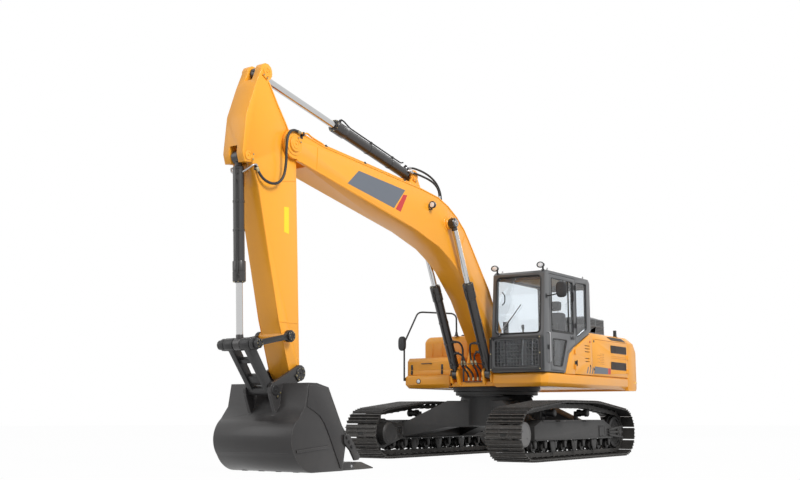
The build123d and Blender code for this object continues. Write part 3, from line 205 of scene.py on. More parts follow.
def build_mottle():
    """Slow drift of a coat's tone over large areas, and finer spots in it."""
    group, given, out, place = new_group(
        "coat_mottle", {"Color": (1, 1, 1, 1), "Amount": 0.1, "Scale": 1.2},
        {"Color": "Color", "Value": "Float"})
    broad = noise(group, place, given.outputs["Scale"], 2.0)
    fine = noise(group, place, times(group, given.outputs["Scale"], 13.0), 4.0, 0.6)
    both = plus(group, times(group, broad, 0.65), times(group, fine, 0.35))
    swing = times(group, minus(group, both, 0.5), given.outputs["Amount"])
    shade = group.nodes.new("ShaderNodeHueSaturation")
    wire(group, (given.outputs["Color"], shade.inputs["Color"]))
    wire(group, (plus(group, times(group, swing, 2.0), 1.0), shade.inputs["Value"]))
    wire(group, (shade.outputs["Color"], out.inputs["Color"]), (both, out.inputs["Value"]))
    return group


def build_grain():
    """Fine relief: orange peel on paint, sand texture on castings, pebble on plastic."""
    group, given, out, place = new_group(
        "fine_grain", {"Scale": 200.0, "Strength": 0.1, "Depth": 0.001},
        {"Normal": "Vector", "Value": "Float"})
    height = noise(group, place, given.outputs["Scale"], 2.0, 0.55)
    bump = group.nodes.new("ShaderNodeBump")
    wire(group, (height, bump.inputs["Height"]),
         (given.outputs["Strength"], bump.inputs["Strength"]))
    wire(group, (given.outputs["Depth"], bump.inputs["Distance"]))
    wire(group, (bump.outputs["Normal"], out.inputs["Normal"]), (height, out.inputs["Value"]))
    return group


def build_dust():
    """Dust that settles on upward faces and thickens towards the ground."""
    group, given, out, place = new_group(
        "settled_dust", {"Amount": 0.3, "Height": 1.0}, {"Mask": "Float"})
    split = group.nodes.new("ShaderNodeSeparateXYZ")
    facing = group.nodes.new("ShaderNodeSeparateXYZ")
    geometry = group.nodes.new("ShaderNodeNewGeometry")
    wire(group, (place, split.inputs[0]), (geometry.outputs["Normal"], facing.inputs[0]))
    up = times(group, plus(group, facing.outputs["Z"], 0.6), 0.6, clamp=True)
    near = minus(group, 1.0,
                 math_node(group, "DIVIDE", split.outputs["Z"], given.outputs["Height"]),
                 clamp=True)
    cloud = times(group, noise(group, place, 7.0, 5.0, 0.65), 1.6, clamp=True)
    lies = times(group, plus(group, up, near, clamp=True), cloud)
    wire(group, (times(group, lies, given.outputs["Amount"], clamp=True), out.inputs["Mask"]))
    return group


def build_wear():
    """Mask of the corners where a coat rubs through to bare metal."""
    group, given, out, place = new_group(
        "rubbed_edges", {"Width": 0.006, "Amount": 0.5}, {"Mask": "Float"})
    rounded_normal = group.nodes.new("ShaderNodeBevel")
    rounded_normal.samples = 4
    geometry = group.nodes.new("ShaderNodeNewGeometry")
    dot = group.nodes.new("ShaderNodeVectorMath")
    dot.operation = "DOT_PRODUCT"
    wire(group, (given.outputs["Width"], rounded_normal.inputs["Radius"]))
    wire(group, (rounded_normal.outputs["Normal"], dot.inputs[0]),
         (geometry.outputs["Normal"], dot.inputs[1]))
    edge = times(group, minus(group, 1.0, dot.outputs["Value"]), 9.0, clamp=True)
    patchy = times(group, minus(group, noise(group, place, 24.0, 5.0, 0.7), 0.36), 4.0, clamp=True)
    rubbed = times(group, times(group, edge, patchy), given.outputs["Amount"], clamp=True)
    wire(group, (rubbed, out.inputs["Mask"]))
    return group


mottle_group = build_mottle()
grain_group = build_grain()
dust_group = build_dust()
wear_group = build_wear()


def use_group(tree, group, **values):
    node = tree.nodes.new("ShaderNodeGroup")
    node.node_tree = group
    for label, value in values.items():
        node.inputs[label].default_value = value
    return node


def blend_colors(tree, mask, a, b):
    """Mix of two colours; each is a socket or a plain colour."""
    mix = tree.nodes.new("ShaderNodeMix")
    mix.data_type = "RGBA"
    for slot, value in ((6, a), (7, b)):
        if isinstance(value, tuple):
            mix.inputs[slot].default_value = (*value, 1)
        else:
            tree.links.new(value, mix.inputs[slot])
    tree.links.new(mask, mix.inputs[0])
    return mix.outputs[2]


def coat(name, color, roughness, metallic=0.0, varies=0.08, scale=1.2, rough_swing=0.12,
         peel=(180.0, 0.06, 0.001), clear=0.0, dust=0.0, dust_top=1.0, worn=0.0,
         bare=(0.42, 0.41, 0.4), dust_color=(0.26, 0.235, 0.2), specular=0.5):
    """A painted, cast or moulded surface."""
    material = bpy.data.materials.new(name)
    material.use_nodes = True
    tree = material.node_tree
    shader = tree.nodes["Principled BSDF"]
    shader.inputs["Metallic"].default_value = metallic
    shader.inputs["Coat Weight"].default_value = clear
    shader.inputs["Coat Roughness"].default_value = 0.12
    shader.inputs["Specular IOR Level"].default_value = specular
    mottle = use_group(tree, mottle_group, Color=(*color, 1), Amount=varies, Scale=scale)
    tone = mottle.outputs["Color"]
    level = plus(tree, times(tree, mottle.outputs["Value"], 2 * rough_swing),
                 roughness - rough_swing)
    if worn:
        edges = use_group(tree, wear_group, Amount=worn).outputs["Mask"]
        tone = blend_colors(tree, edges, tone, bare)
        level = minus(tree, level, times(tree, edges, 0.15))
        wire(tree,
             (plus(tree, times(tree, edges, 0.8), metallic, clamp=True), shader.inputs["Metallic"]))
    if dust:
        mask = use_group(tree, dust_group, Amount=dust, Height=dust_top).outputs["Mask"]
        tone = blend_colors(tree, mask, tone, dust_color)
        level = plus(tree, level, times(tree, mask, 0.35), clamp=True)
    wire(tree, (tone, shader.inputs["Base Color"]), (level, shader.inputs["Roughness"]))
    grain = use_group(tree, grain_group, Scale=peel[0], Strength=peel[1], Depth=peel[2])
    wire(tree, (grain.outputs["Normal"], shader.inputs["Normal"]))
    return material


def clear_pane(name, color, roughness=0.02):
    """Tinted glass: a thin sheet that is partly see-through and partly mirror."""
    material = bpy.data.materials.new(name)
    material.use_nodes = True
    tree = material.node_tree
    shader = tree.nodes["Principled BSDF"]
    shader.inputs["Transmission Weight"].default_value = 1.0
    shader.inputs["IOR"].default_value = 1.1
    shader.inputs["Coat Weight"].default_value = 0.6
    shader.inputs["Coat Roughness"].default_value = 0.02
    mottle = use_group(tree, mottle_group, Color=(*color, 1), Amount=0.03, Scale=2.0)
    smear = plus(tree, times(tree, mottle.outputs["Value"], 0.03), roughness - 0.01)
    wire(tree, (mottle.outputs["Color"], shader.inputs["Base Color"]),
         (smear, shader.inputs["Roughness"]))
    return material


orange = coat("orange_coat", (0.915, 0.378, 0.02), 0.36, varies=0.05, clear=0.18, specular=0.4,
              dust=0.1, dust_top=1.6)
cab_grey = coat("cab_grey_coat", (0.085, 0.088, 0.092), 0.4, varies=0.08, clear=0.2, dust=0.08,
                dust_top=1.5)
frame_black = coat("frame_black_coat", (0.015, 0.015, 0.016), 0.46, varies=0.18, specular=0.35,
                   dust=0.07, dust_top=0.9, worn=0.12)
track_iron = coat("track_iron", (0.026, 0.025, 0.025), 0.5, metallic=0.55, varies=0.3, scale=4.0,
                  peel=(90.0, 0.25, 0.002), dust=0.12, dust_top=0.8, worn=0.5)
barrel_black = coat("barrel_black_coat", (0.018, 0.0155, 0.015), 0.36, varies=0.12, clear=0.35)
link_black = coat("link_black_coat", (0.017, 0.0165, 0.0168), 0.42, varies=0.15, clear=0.08,
                  specular=0.4, worn=0.15)
bucket_black = coat("bucket_black_coat", (0.02, 0.0185, 0.019), 0.38, varies=0.16, scale=2.0,
                    clear=0.12, specular=0.4, dust=0.05, dust_top=0.5, worn=0.3)
tooth_iron = coat("tooth_iron", (0.042, 0.04, 0.04), 0.5, metallic=0.4, varies=0.2,
                  peel=(70.0, 0.25, 0.002), worn=0.7, dust=0.2, dust_top=0.3)
bare_steel = coat("bare_steel", (0.42, 0.42, 0.43), 0.34, metallic=1.0, varies=0.12, scale=6.0,
                  peel=(400.0, 0.05, 0.0005))
zinc = coat("zinc_plate", (0.4, 0.35, 0.22), 0.34, metallic=1.0, varies=0.2, scale=20.0)
chrome = coat("chrome_plate", (0.56, 0.56, 0.56), 0.14, metallic=1.0, varies=0.02, rough_swing=0.03,
              peel=(300.0, 0.01, 0.0002))
rubber = coat("hose_rubber", (0.014, 0.014, 0.014), 0.55, varies=0.2, scale=5.0,
              peel=(260.0, 0.25, 0.0008))
gasket = coat("gasket_rubber", (0.008, 0.008, 0.008), 0.5, varies=0.1, scale=5.0)
plastic = coat("black_plastic", (0.016, 0.016, 0.017), 0.45, varies=0.12, scale=3.0,
               peel=(420.0, 0.25, 0.0006))
plastic_grey = coat("grey_trim_plastic", (0.13, 0.13, 0.132), 0.55, varies=0.08, scale=3.0,
                    peel=(420.0, 0.3, 0.0006))
tan_liner = coat("tan_headliner", (0.42, 0.33, 0.22), 0.85, varies=0.1, scale=4.0,
                 peel=(300.0, 0.4, 0.001), specular=0.2)
cloth = coat("seat_cloth", (0.03, 0.03, 0.034), 0.9, varies=0.35, scale=9.0,
             peel=(900.0, 0.6, 0.001), specular=0.2)
engine_iron = coat("engine_iron", (0.1, 0.1, 0.105), 0.6, metallic=0.3, varies=0.2,
                   peel=(90.0, 0.3, 0.002))
label_grey = coat("label_grey", (0.125, 0.14, 0.165), 0.45, varies=0.05)
label_red = coat("label_red", (0.55, 0.03, 0.03), 0.4, varies=0.05)
label_yellow = coat("label_yellow", (0.9, 0.66, 0.02), 0.4, varies=0.04)
reflector = coat("amber_reflector", (0.92, 0.5, 0.02), 0.2, varies=0.1, clear=0.8,
                 peel=(500.0, 0.5, 0.001))
lens = coat("lamp_lens", (0.8, 0.82, 0.84), 0.12, varies=0.05, clear=1.0, peel=(120.0, 0.5, 0.002))
mirror_glass = coat("mirror_glass", (0.8, 0.82, 0.84), 0.04, metallic=1.0, varies=0.02,
                    rough_swing=0.01, peel=(300.0, 0.01, 0.0002))
cab_glass = clear_pane("cab_glass", (0.86, 0.9, 0.93))


# ---------------------------------------------------------------- workshop helpers
X, Y, Z = Vector((1, 0, 0)), Vector((0, 1, 0)), Vector((0, 0, 1))
both_sides = ((1, "left"), (-1, "right"))


def deselect():
    if bpy.context.mode != "OBJECT":
        bpy.ops.object.mode_set(mode="OBJECT")
    bpy.ops.object.select_all(action="DESELECT")


def take(piece):
    """Make one piece the only one that is selected and active."""
    deselect()
    piece.select_set(True)
    bpy.context.view_layer.objects.active = piece
    return piece


def paint(piece, material):
    """One finish all over a piece."""
    piece.data.materials.clear()
    piece.data.materials.append(material)


def settle(piece, name, material, body):
    """Place into the mesh, name, finish and body of a piece."""
    take(piece)
    bpy.ops.object.transform_apply(location=True, rotation=True, scale=True)
    piece.name = name
    piece.data.name = name
    paint(piece, material)
    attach(piece, body)
    return piece


def smooth(piece, angle=35):
    take(piece)
    bpy.ops.object.shade_smooth_by_angle(angle=math.radians(angle))
    return piece


def bevel(piece, width, segments=2, angle=30):
    """Round the sharp edges with a bevel that is applied."""
    take(piece)
    edge = piece.modifiers.new("edge", "BEVEL")
    edge.width = width
    edge.segments = segments
    edge.limit_method = "ANGLE"
    edge.angle_limit = math.radians(angle)
    edge.use_clamp_overlap = True
    bpy.ops.object.modifier_apply(modifier=edge.name)
    return smooth(piece)


def rounded(node, width, material):
    """Copy of a CAD node with welded corners and rounded edges, which stands in for it."""
    source = frame["nodes"][node]
    piece = bpy.data.objects.new(node + "_finished", source.data.copy())
    scene.collection.objects.link(piece)
    take(piece)
    bpy.ops.object.mode_set(mode="EDIT")
    bpy.ops.mesh.select_all(action="SELECT")
    bpy.ops.mesh.remove_doubles(threshold=0.00005)
    bpy.ops.mesh.dissolve_limited(angle_limit=math.radians(0.7))
    bpy.ops.object.mode_set(mode="OBJECT")
    bevel(piece, width)
    paint(piece, material)
    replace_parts(piece, node)
    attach(piece, node_body[node])


node_body = {}
for body_name, members in frame["record"]["behaviour"]["bodies"].items():
    for member in members:
        node_body[member] = body_name


def block(low, high):
    """Box from its lowest to its highest corner."""
    deselect()
    middle = [(a + b) / 2 for a, b in zip(low, high)]
    size = [abs(b - a) for a, b in zip(low, high)]
    bpy.ops.mesh.primitive_cube_add(size=1, location=middle)
    piece = bpy.context.active_object
    piece.scale = size
    bpy.ops.object.transform_apply(location=True, rotation=True, scale=True)
    return piece


def billet(low, high, width, segments=2):
    """Box with rounded edges."""
    return bevel(block(low, high), width, segments)


def point_outwards():
    """Turn every face of the mesh in edit mode outwards, and leave edit mode."""
    bpy.ops.mesh.select_all(action="SELECT")
    bpy.ops.mesh.normals_make_consistent(inside=False)
    bpy.ops.object.mode_set(mode="OBJECT")


def lathe(start, axis, stations, sides=32):
    """Turned shape: a disc that is drawn out along the axis from station to station and
    closed at its end.  Each station is (distance from start, radius)."""
    deselect()
    axis = Vector(axis).normalized()
    start = Vector(start)
    distance, radius = stations[0]
    bpy.ops.mesh.primitive_circle_add(
        vertices=sides, radius=radius, fill_type="NGON", location=start + axis * distance,
        rotation=axis.to_track_quat("Z", "Y").to_euler()
    )
    piece = bpy.context.active_object
    bpy.ops.object.transform_apply(location=True, rotation=True, scale=True)
    bpy.ops.object.mode_set(mode="EDIT")
    bpy.ops.mesh.select_all(action="SELECT")
    for far, wide in stations[1:]:
        bpy.ops.mesh.extrude_region_move(TRANSFORM_OT_translate={"value": axis * (far - distance)})
        if abs(wide - radius) > 1e-6:
            share = wide / radius
            bpy.ops.transform.resize(
                value=(share, share, share), center_override=start + axis * far)
        distance, radius = far, wide
    point_outwards()
    return piece


def join(pieces):
    """One piece of several."""
    take(pieces[0])
    for piece in pieces:
        piece.select_set(True)
    bpy.ops.object.join()
    return bpy.context.active_object


def assemble(pieces, name, material, body, angle=35):
    """Several pieces made one, smoothed, named, finished and put on their body."""
    return settle(smooth(join(pieces), angle), name, material, body)


def copy_to(piece, matrix):
    """Copy with its own mesh, moved by a matrix that goes into the mesh."""
    twin = bpy.data.objects.new(piece.name, piece.data.copy())
    scene.collection.objects.link(twin)
    twin.data.transform(matrix)
    if matrix.to_3x3().determinant() < 0:
        twin.data.flip_normals()
    return twin


def scatter(piece, matrices):
    """Copies of a piece at each place, joined, with the first one left out."""
    twins = [copy_to(piece, matrix) for matrix in matrices]
    bpy.data.objects.remove(piece)
    return join(twins)


def beside(place, y):
    """The same point of the side view, at another y."""
    return Vector((place.x, y, place.z))


def select_faces(piece, test):
    """Enter edit mode with the faces selected whose centre and normal pass a test."""
    take(piece)
    bpy.ops.object.mode_set(mode="EDIT")
    bpy.ops.mesh.select_all(action="DESELECT")
    bpy.ops.mesh.select_mode(type="FACE")
    mesh = bmesh.from_edit_mesh(piece.data)
    for face in mesh.faces:
        face.select = test(face.calc_center_median(), face.normal)
    bmesh.update_edit_mesh(piece.data)


def taper(piece, test, share, centre):
    """Scale the chosen faces about a point, each axis by its own share."""
    select_faces(piece, test)
    bpy.ops.transform.resize(value=share, center_override=centre)
    bpy.ops.object.mode_set(mode="OBJECT")
    return piece


def press(piece, test, rim, depth):
    """Inset the chosen faces and push them in by a depth (or out, where it is negative)."""
    select_faces(piece, test)
    bpy.ops.mesh.inset(thickness=rim, depth=0, use_individual=True)
    bpy.ops.mesh.inset(thickness=0.0001, depth=-depth, use_individual=True)
    bpy.ops.object.mode_set(mode="OBJECT")
    return piece


def bolts(places, axis, radius, height, material, name, body):
    """Row of hexagon bolt heads on washers."""
    washer, washer_top, chamfered = radius * 1.35, height * 0.25, radius * 0.94
    head = lathe((0, 0, 0), axis,
                 [(0, washer), (washer_top, washer), (washer_top, radius), (height, chamfered)], 6)
    heads = scatter(head, [Matrix.Translation(place) for place in places])
    return settle(smooth(heads, 25), name, material, body)


def tube_along(route, radius, fineness, name, closed=False):
    """Round bar through every point of a route; a closed one runs back to its start."""
    deselect()
    data = bpy.data.curves.new(name, "CURVE")
    data.dimensions = "3D"
    data.bevel_depth = radius
    data.bevel_resolution = fineness
    data.use_fill_caps = not closed
    line = data.splines.new("POLY")
    line.points.add(len(route) - 1)
    for spot, place in zip(line.points, route):
        spot.co = (*place, 1)
    line.use_cyclic_u = closed
    tube = bpy.data.objects.new(name, data)
    scene.collection.objects.link(tube)
    take(tube)
    bpy.ops.object.convert(target="MESH")
    return bpy.context.active_object


def pipe(points, radius, material, name, body, round_off=0.05, sides=3):
    """Bent steel tube or bar through the corners of a route, with rounded bends."""
    route = round_corners([Vector(p) for p in points], round_off)
    return settle(smooth(tube_along(route, radius, sides, name), 50), name, material, body)


def round_corners(points, radius, steps=5):
    """Route with each corner replaced by a short arc-like run."""
    route = [points[0]]
    for before, corner, after in zip(points, points[1:], points[2:]):
        reach = min(radius, (corner - before).length * 0.48, (after - corner).length * 0.48)
        a = corner + (before - corner).normalized() * reach
        b = corner + (after - corner).normalized() * reach
        for k in range(steps + 1):
            t = k / steps
            route.append(a * (1 - t) ** 2 + corner * 2 * t * (1 - t) + b * t * t)
    route.append(points[-1])
    return route


def oval(piece, y, z, half_wide, half_high, power=3.2):
    """Turns a round piece about (y, z) into an oval; a power over 2 gives it flat sides."""
    for vertex in piece.data.vertices:
        across, up = vertex.co.y - y, vertex.co.z - z
        radius = math.hypot(across, up) or 1.0
        swell = (abs(across / radius) ** power + abs(up / radius) ** power) ** (-1 / power)
        vertex.co.y, vertex.co.z = y + across * swell * half_wide, z + up * swell * half_high
    return piece


# ---------------------------------------------------------------- the frame's own parts, finished
for node, width, material in (
        ("boom", 0.008, orange), ("arm", 0.008, orange), ("body_panels", 0.004, orange),
        ("left_front_door", 0.006, orange), ("left_rear_door", 0.004, orange),
        ("right_door", 0.006, orange), ("engine_hood", 0.01, orange), ("fuel_tank", 0.022, orange),
        ("toolbox", 0.012, orange), ("toolbox_lid", 0.01, orange), ("deck_skirts", 0.006, orange),
        ("counterweight", 0.03, orange), ("house_frame", 0.005, orange),
        ("hood_vent", 0.005, cab_grey), ("engine", 0.02, engine_iron),
        ("cab_frame", 0.012, cab_grey), ("cab_door", 0.006, cab_grey),
        ("cab_guard", 0.006, plastic), ("bucket", 0.005, bucket_black),
        ("tipping_links", 0.008, link_black), ("bucket_link", 0.008, link_black),
        ("track_frames", 0.006, frame_black), ("car_body", 0.01, frame_black),):
    rounded(node, width, material)
for node in ("cab_windows", "cab_door_window"):
    paint(frame["nodes"][node], cab_glass)


# ---------------------------------------------------------------- tracks
half_gauge, wheel_z, sprocket_x, idler_x = 1.295, 0.405, 1.78, -1.755
carrier_x, carrier_rise = 0.62, 0.12
shoe_count, pin_depth = 48, 0.089
link_half, shoe_thick, bar_high = 0.049, 0.014, 0.026


def track_pins():
    """Places of the link pins, evenly spaced round the loop, from the rear of the ground run."""
    radius, high = wheel_z - pin_depth, 2 * wheel_z + carrier_rise - pin_depth
    run, rise = sprocket_x - carrier_x, high - wheel_z
    slope = math.atan2(rise, run) - math.asin(radius / math.hypot(run, rise))
    low, turn = wheel_z - radius, math.pi - slope
    front_top = Vector((sprocket_x + radius * math.sin(slope), 0,
                        wheel_z + radius * math.cos(slope)))
    front_high, rear_high = Vector((carrier_x, 0, high)), Vector((-carrier_x, 0, high))
    rear_top = Vector((idler_x - radius * math.sin(slope), 0, front_top.z))
    ramp, rear_ramp = (front_high - front_top).length, (rear_top - rear_high).length
    stretches = ((sprocket_x - idler_x, lambda s: Vector((idler_x + s, 0, low))),
                 (radius * turn,
                  lambda s: Vector(
                      (sprocket_x + radius * math.sin(s / radius), 0,
                       wheel_z - radius * math.cos(s / radius)))),
                 (ramp, lambda s: front_top.lerp(front_high, s / ramp)),
                 (2 * carrier_x, lambda s: Vector((carrier_x - s, 0, high))),
                 (rear_ramp, lambda s: rear_high.lerp(rear_top, s / rear_ramp)),
                 (radius * turn,
                  lambda s: Vector(
                      (idler_x - radius * math.sin(slope + s / radius), 0,
                       wheel_z + radius * math.cos(slope + s / radius)))),)
    total = sum(length for length, place in stretches)
    pins = []
    for k in range(shoe_count):
        s = total * k / shoe_count
        for length, place in stretches:
            if s <= length:
                pins.append(place(s))
                break
            s -= length
    return pins


def link_frames(sign):
    """For each link: its middle, turned so that z points out of the loop and x along it."""
    places = []
    for start, end in zip(pins, pins[1:] + pins[:1]):
        along = (end - start).normalized()
        out = Vector((along.z, 0, -along.x))
        turn = Matrix((along, -Y, out)).transposed().to_4x4()
        middle = (start + end) / 2 + Y * sign * half_gauge
        places.append(Matrix.Translation(middle) @ turn)
    return places


pins = track_pins()
pitch = (pins[1] - pins[0]).length


def track_shoe():
    """Plate with three grouser bars and four bolts; its clean-out hole at the middle is not cut, and
    a dark plate laid on later is painted shade for it.
    """
    top = link_half + shoe_thick
    plate = block((-pitch / 2 + 0.003, -0.3, link_half), (pitch / 2 - 0.003, 0.3, top))
    select_faces(plate, lambda place, normal: normal.x > 0.9)
    bpy.ops.mesh.extrude_region_move(TRANSFORM_OT_translate={"value": (0.014, 0, -0.008)})
    bpy.ops.object.mode_set(mode="OBJECT")
    parts = [plate]
    for x in (-0.36 * pitch, -0.02 * pitch, 0.31 * pitch):
        bar = block((x - 0.011, -0.3, top - 0.002), (x + 0.011, 0.3, top + bar_high))
        taper(bar, lambda place, normal: normal.z > 0.9, (0.5, 1, 1), (x, 0, top + bar_high))
        parts.append(bar)
    for x, y in ((-0.19 * pitch, 0.07), (0.14 * pitch, 0.07), (-0.19 * pitch, -0.07),
                 (0.14 * pitch, -0.07)):
        parts.append(lathe((x, y, top - 0.001), Z, [(0, 0.012), (0.009, 0.011)], 6))
    return join(parts)


def chain_link():
    """The two side plates of a link, each with its pin boss, and the bushing between them."""
    parts = []
    for side in (1, -1):
        low, high = (0.047, 0.092) if side > 0 else (-0.092, -0.047)
        plate = block((-pitch / 2, low, -link_half + 0.004), (pitch / 2, high, link_half))
        taper(plate, lambda place, normal: abs(normal.x) > 0.9, (1, 1, 0.62), (0, 0, -0.012))
        parts.append(plate)
        parts.append(lathe(
            (-pitch / 2, low - 0.002, 0), Y,
            [(0, 0.04), (0.049, 0.04), (0.049, 0.024), (0.053, 0.022)], 12))
    parts.append(lathe((-pitch / 2, -0.05, 0), Y, [(0, 0.028), (0.1, 0.028)], 10))
    return join(parts)


for sign, side in both_sides:
    places = link_frames(sign)
    shoes = smooth(scatter(track_shoe(), places), 30)
    links = smooth(scatter(chain_link(), places), 40)
    settle(shoes, f"track_{side}_shoes", track_iron, "undercarriage")
    settle(links, f"track_{side}_chain", track_iron, "undercarriage")
    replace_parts(shoes, f"track_{side}")
    # painted shade: a dark plate on each shoe stands in for the shade inside its clean-out hole
    # between the middle bars
    hole_shade = block((-0.3 * pitch, -0.045, link_half + shoe_thick - 0.001),
                (-0.08 * pitch, 0.045, link_half + shoe_thick + 0.0015))
    bevel(hole_shade, 0.012, 2)
    settle(scatter(hole_shade, places), f"track_{side}_cleanout_shades", gasket, "undercarriage")


# ---------------------------------------------------------------- wheels of the undercarriage
def wheel_sets(make, name, material, node, places):
    """One wheel modelled at the origin across y, copied to each place on both sides."""
    wheel = make()
    spots = []
    for x, z in places:
        spots.append(Matrix.Translation((x, half_gauge, z)))
        spots.append(Matrix.Translation((x, -half_gauge, z)) @ Matrix.Scale(-1, 4, Y))
    wheels = smooth(scatter(wheel, spots))
    settle(wheels, name, material, "undercarriage")
    if node:
        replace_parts(wheels, node)


def heads_round(turns, circle, y, axis, profile):
    """Hexagon heads on a circle about the wheel's axle, one at each angle."""
    return [lathe((circle * math.cos(turn), y, circle * math.sin(turn)), axis, profile,
                  6) for turn in turns]


def full_turn(count, start=0.0):
    return [2 * math.pi * (k + start) / count for k in range(count)]


def sprocket():
    """Toothed ring and the final drive's drum, whose cover faces outwards."""
    rim = lathe((0, -0.03, 0), Y,
                [(0, 0.2), (0, 0.272), (0.006, 0.279), (0.054, 0.279), (0.06, 0.272), (0.06, 0.2)],
                63)
    tooth = block((0.27, -0.03, -0.026), (0.3225, 0.03, 0.026))
    taper(tooth, lambda place, normal: normal.x > 0.9, (1, 0.72, 0.34), (0.3225, 0, 0))
    bevel(tooth, 0.004, 1)
    teeth = scatter(tooth, [Matrix.Rotation(turn, 4, "Y") for turn in full_turn(21)])
    drum = lathe((0, -0.15, 0), Y,
                 [(0, 0.178), (0.02, 0.2), (0.11, 0.2), (0.12, 0.19), (0.19, 0.19), (0.2, 0.204),
                  (0.262, 0.204), (0.268, 0.198), (0.285, 0.198), (0.292, 0.19)], 48)
    return join([rim, teeth, drum])


def sprocket_cover():
    """Flat cover plate of the final drive with its rim of bolts and the oil plugs."""
    disc = lathe((0, 0.14, 0), Y,
                 [(0, 0.186), (0.024, 0.186), (0.03, 0.18), (0.03, 0.15), (0.027, 0.146),
                  (0.027, 0.02), (0.027, 0.002)], 48)
    rim_bolts = heads_round(full_turn(24), 0.168, 0.169, Y, [(0, 0.009), (0.005, 0.0085)])
    oil_plugs = heads_round((0.6, 3.8), 0.09, 0.166, Y, [(0, 0.014), (0.006, 0.013)])
    return join([disc] + rim_bolts + oil_plugs)


def bottom_roller():
    """Track roller: two treads with an outer flange each, a waist and end collars."""
    side = [(-0.103, 0.03), (-0.103, 0.052), (-0.098, 0.055), (-0.096, 0.077), (-0.047, 0.077),
            (-0.045, 0.092), (-0.032, 0.092), (-0.028, 0.058), (0.028, 0.058), (0.032, 0.092),
            (0.045, 0.092), (0.047, 0.077), (0.096, 0.077), (0.098, 0.055), (0.103, 0.052),
            (0.103, 0.03)]
    parts = [lathe((0, 0, 0), Y, side, 24)]
    for low, high in ((-0.142, -0.106), (0.106, 0.142)):
        collar = block((-0.052, low, -0.03), (0.052, high, 0.106))
        taper(collar, lambda place, normal: normal.z < -0.9, (0.55, 1, 1), (0, 0, -0.03))
        parts.append(bevel(collar, 0.008))
        end = 1 if low > 0 else -1
        for x in (-0.03, 0.03):
            parts.append(lathe(
                (x, high - 0.002 if end > 0 else low + 0.002, 0.08), Y * end,
                [(0, 0.013), (0.01, 0.012)], 6))
    return join(parts)


def carrier_roller():
    treads = [(-0.095, 0.04), (-0.095, 0.058), (-0.09, 0.061), (-0.045, 0.061), (-0.042, 0.05),
              (0.042, 0.05), (0.045, 0.061), (0.09, 0.061), (0.095, 0.056), (0.1, 0.05),
              (0.103, 0.03)]
    roller = lathe((0, 0, 0), Y, treads, 32)
    arm = block((-0.036, -0.15, -0.115), (0.036, -0.106, 0.03))
    taper(arm, lambda place, normal: normal.z < -0.9, (1.5, 1, 1), (0, 0, -0.115))
    bevel(arm, 0.008)
    return join([roller, arm])


def idler_wheel():
    side = [(-0.09, 0.17), (-0.09, 0.252), (-0.085, 0.264), (-0.04, 0.264), (-0.036, 0.288),
            (-0.028, 0.292), (0.028, 0.292), (0.036, 0.288), (0.04, 0.264), (0.085, 0.264),
            (0.09, 0.252), (0.09, 0.222), (0.07, 0.215), (0.062, 0.12), (0.085, 0.095),
            (0.095, 0.07), (0.172, 0.038)]
    return lathe((0, 0, 0), Y, side, 48)


roller_step = (sprocket_x - idler_x - 2 * 0.267 - 0.24) / 8
roller_places = [((sprocket_x + idler_x) / 2 + (k - 4) * roller_step, 0.216) for k in range(9)]
wheel_sets(sprocket, "sprockets_finished", frame_black, "drive_sprockets", [(sprocket_x, wheel_z)])
wheel_sets(sprocket_cover, "final_drive_covers",
           coat("cover_grey_coat", (0.085, 0.085, 0.088), 0.42, varies=0.12, clear=0.1, dust=0.2),
           None, [(sprocket_x, wheel_z)])
wheel_sets(bottom_roller, "bottom_rollers_finished", frame_black, "bottom_rollers", roller_places)
wheel_sets(carrier_roller, "carrier_rollers_finished", frame_black, "top_rollers",
           [(x, 2 * wheel_z + carrier_rise - 0.138 - 0.065) for x in (-carrier_x, carrier_x)])
wheel_sets(idler_wheel, "idlers_finished", frame_black, "idlers", [(idler_x, wheel_z)])


def motor_guard():
    """Bolted cover over the travel motor on the inboard side, with its hose port."""
    drum = lathe((0, -0.15, 0), -Y, [(0, 0.176), (0.15, 0.176), (0.165, 0.16), (0.185, 0.15)], 40)
    port = billet((-0.235, -0.3, -0.09), (-0.12, -0.16, 0.1), 0.02, 3)
    return join([drum, port] + heads_round(
        full_turn(6, 0.5), 0.155, -0.308, -Y, [(0, 0.012), (0.01, 0.011)]))


wheel_sets(motor_guard, "travel_motor_guards", frame_black, "travel_motors",
           [(sprocket_x, wheel_z)])


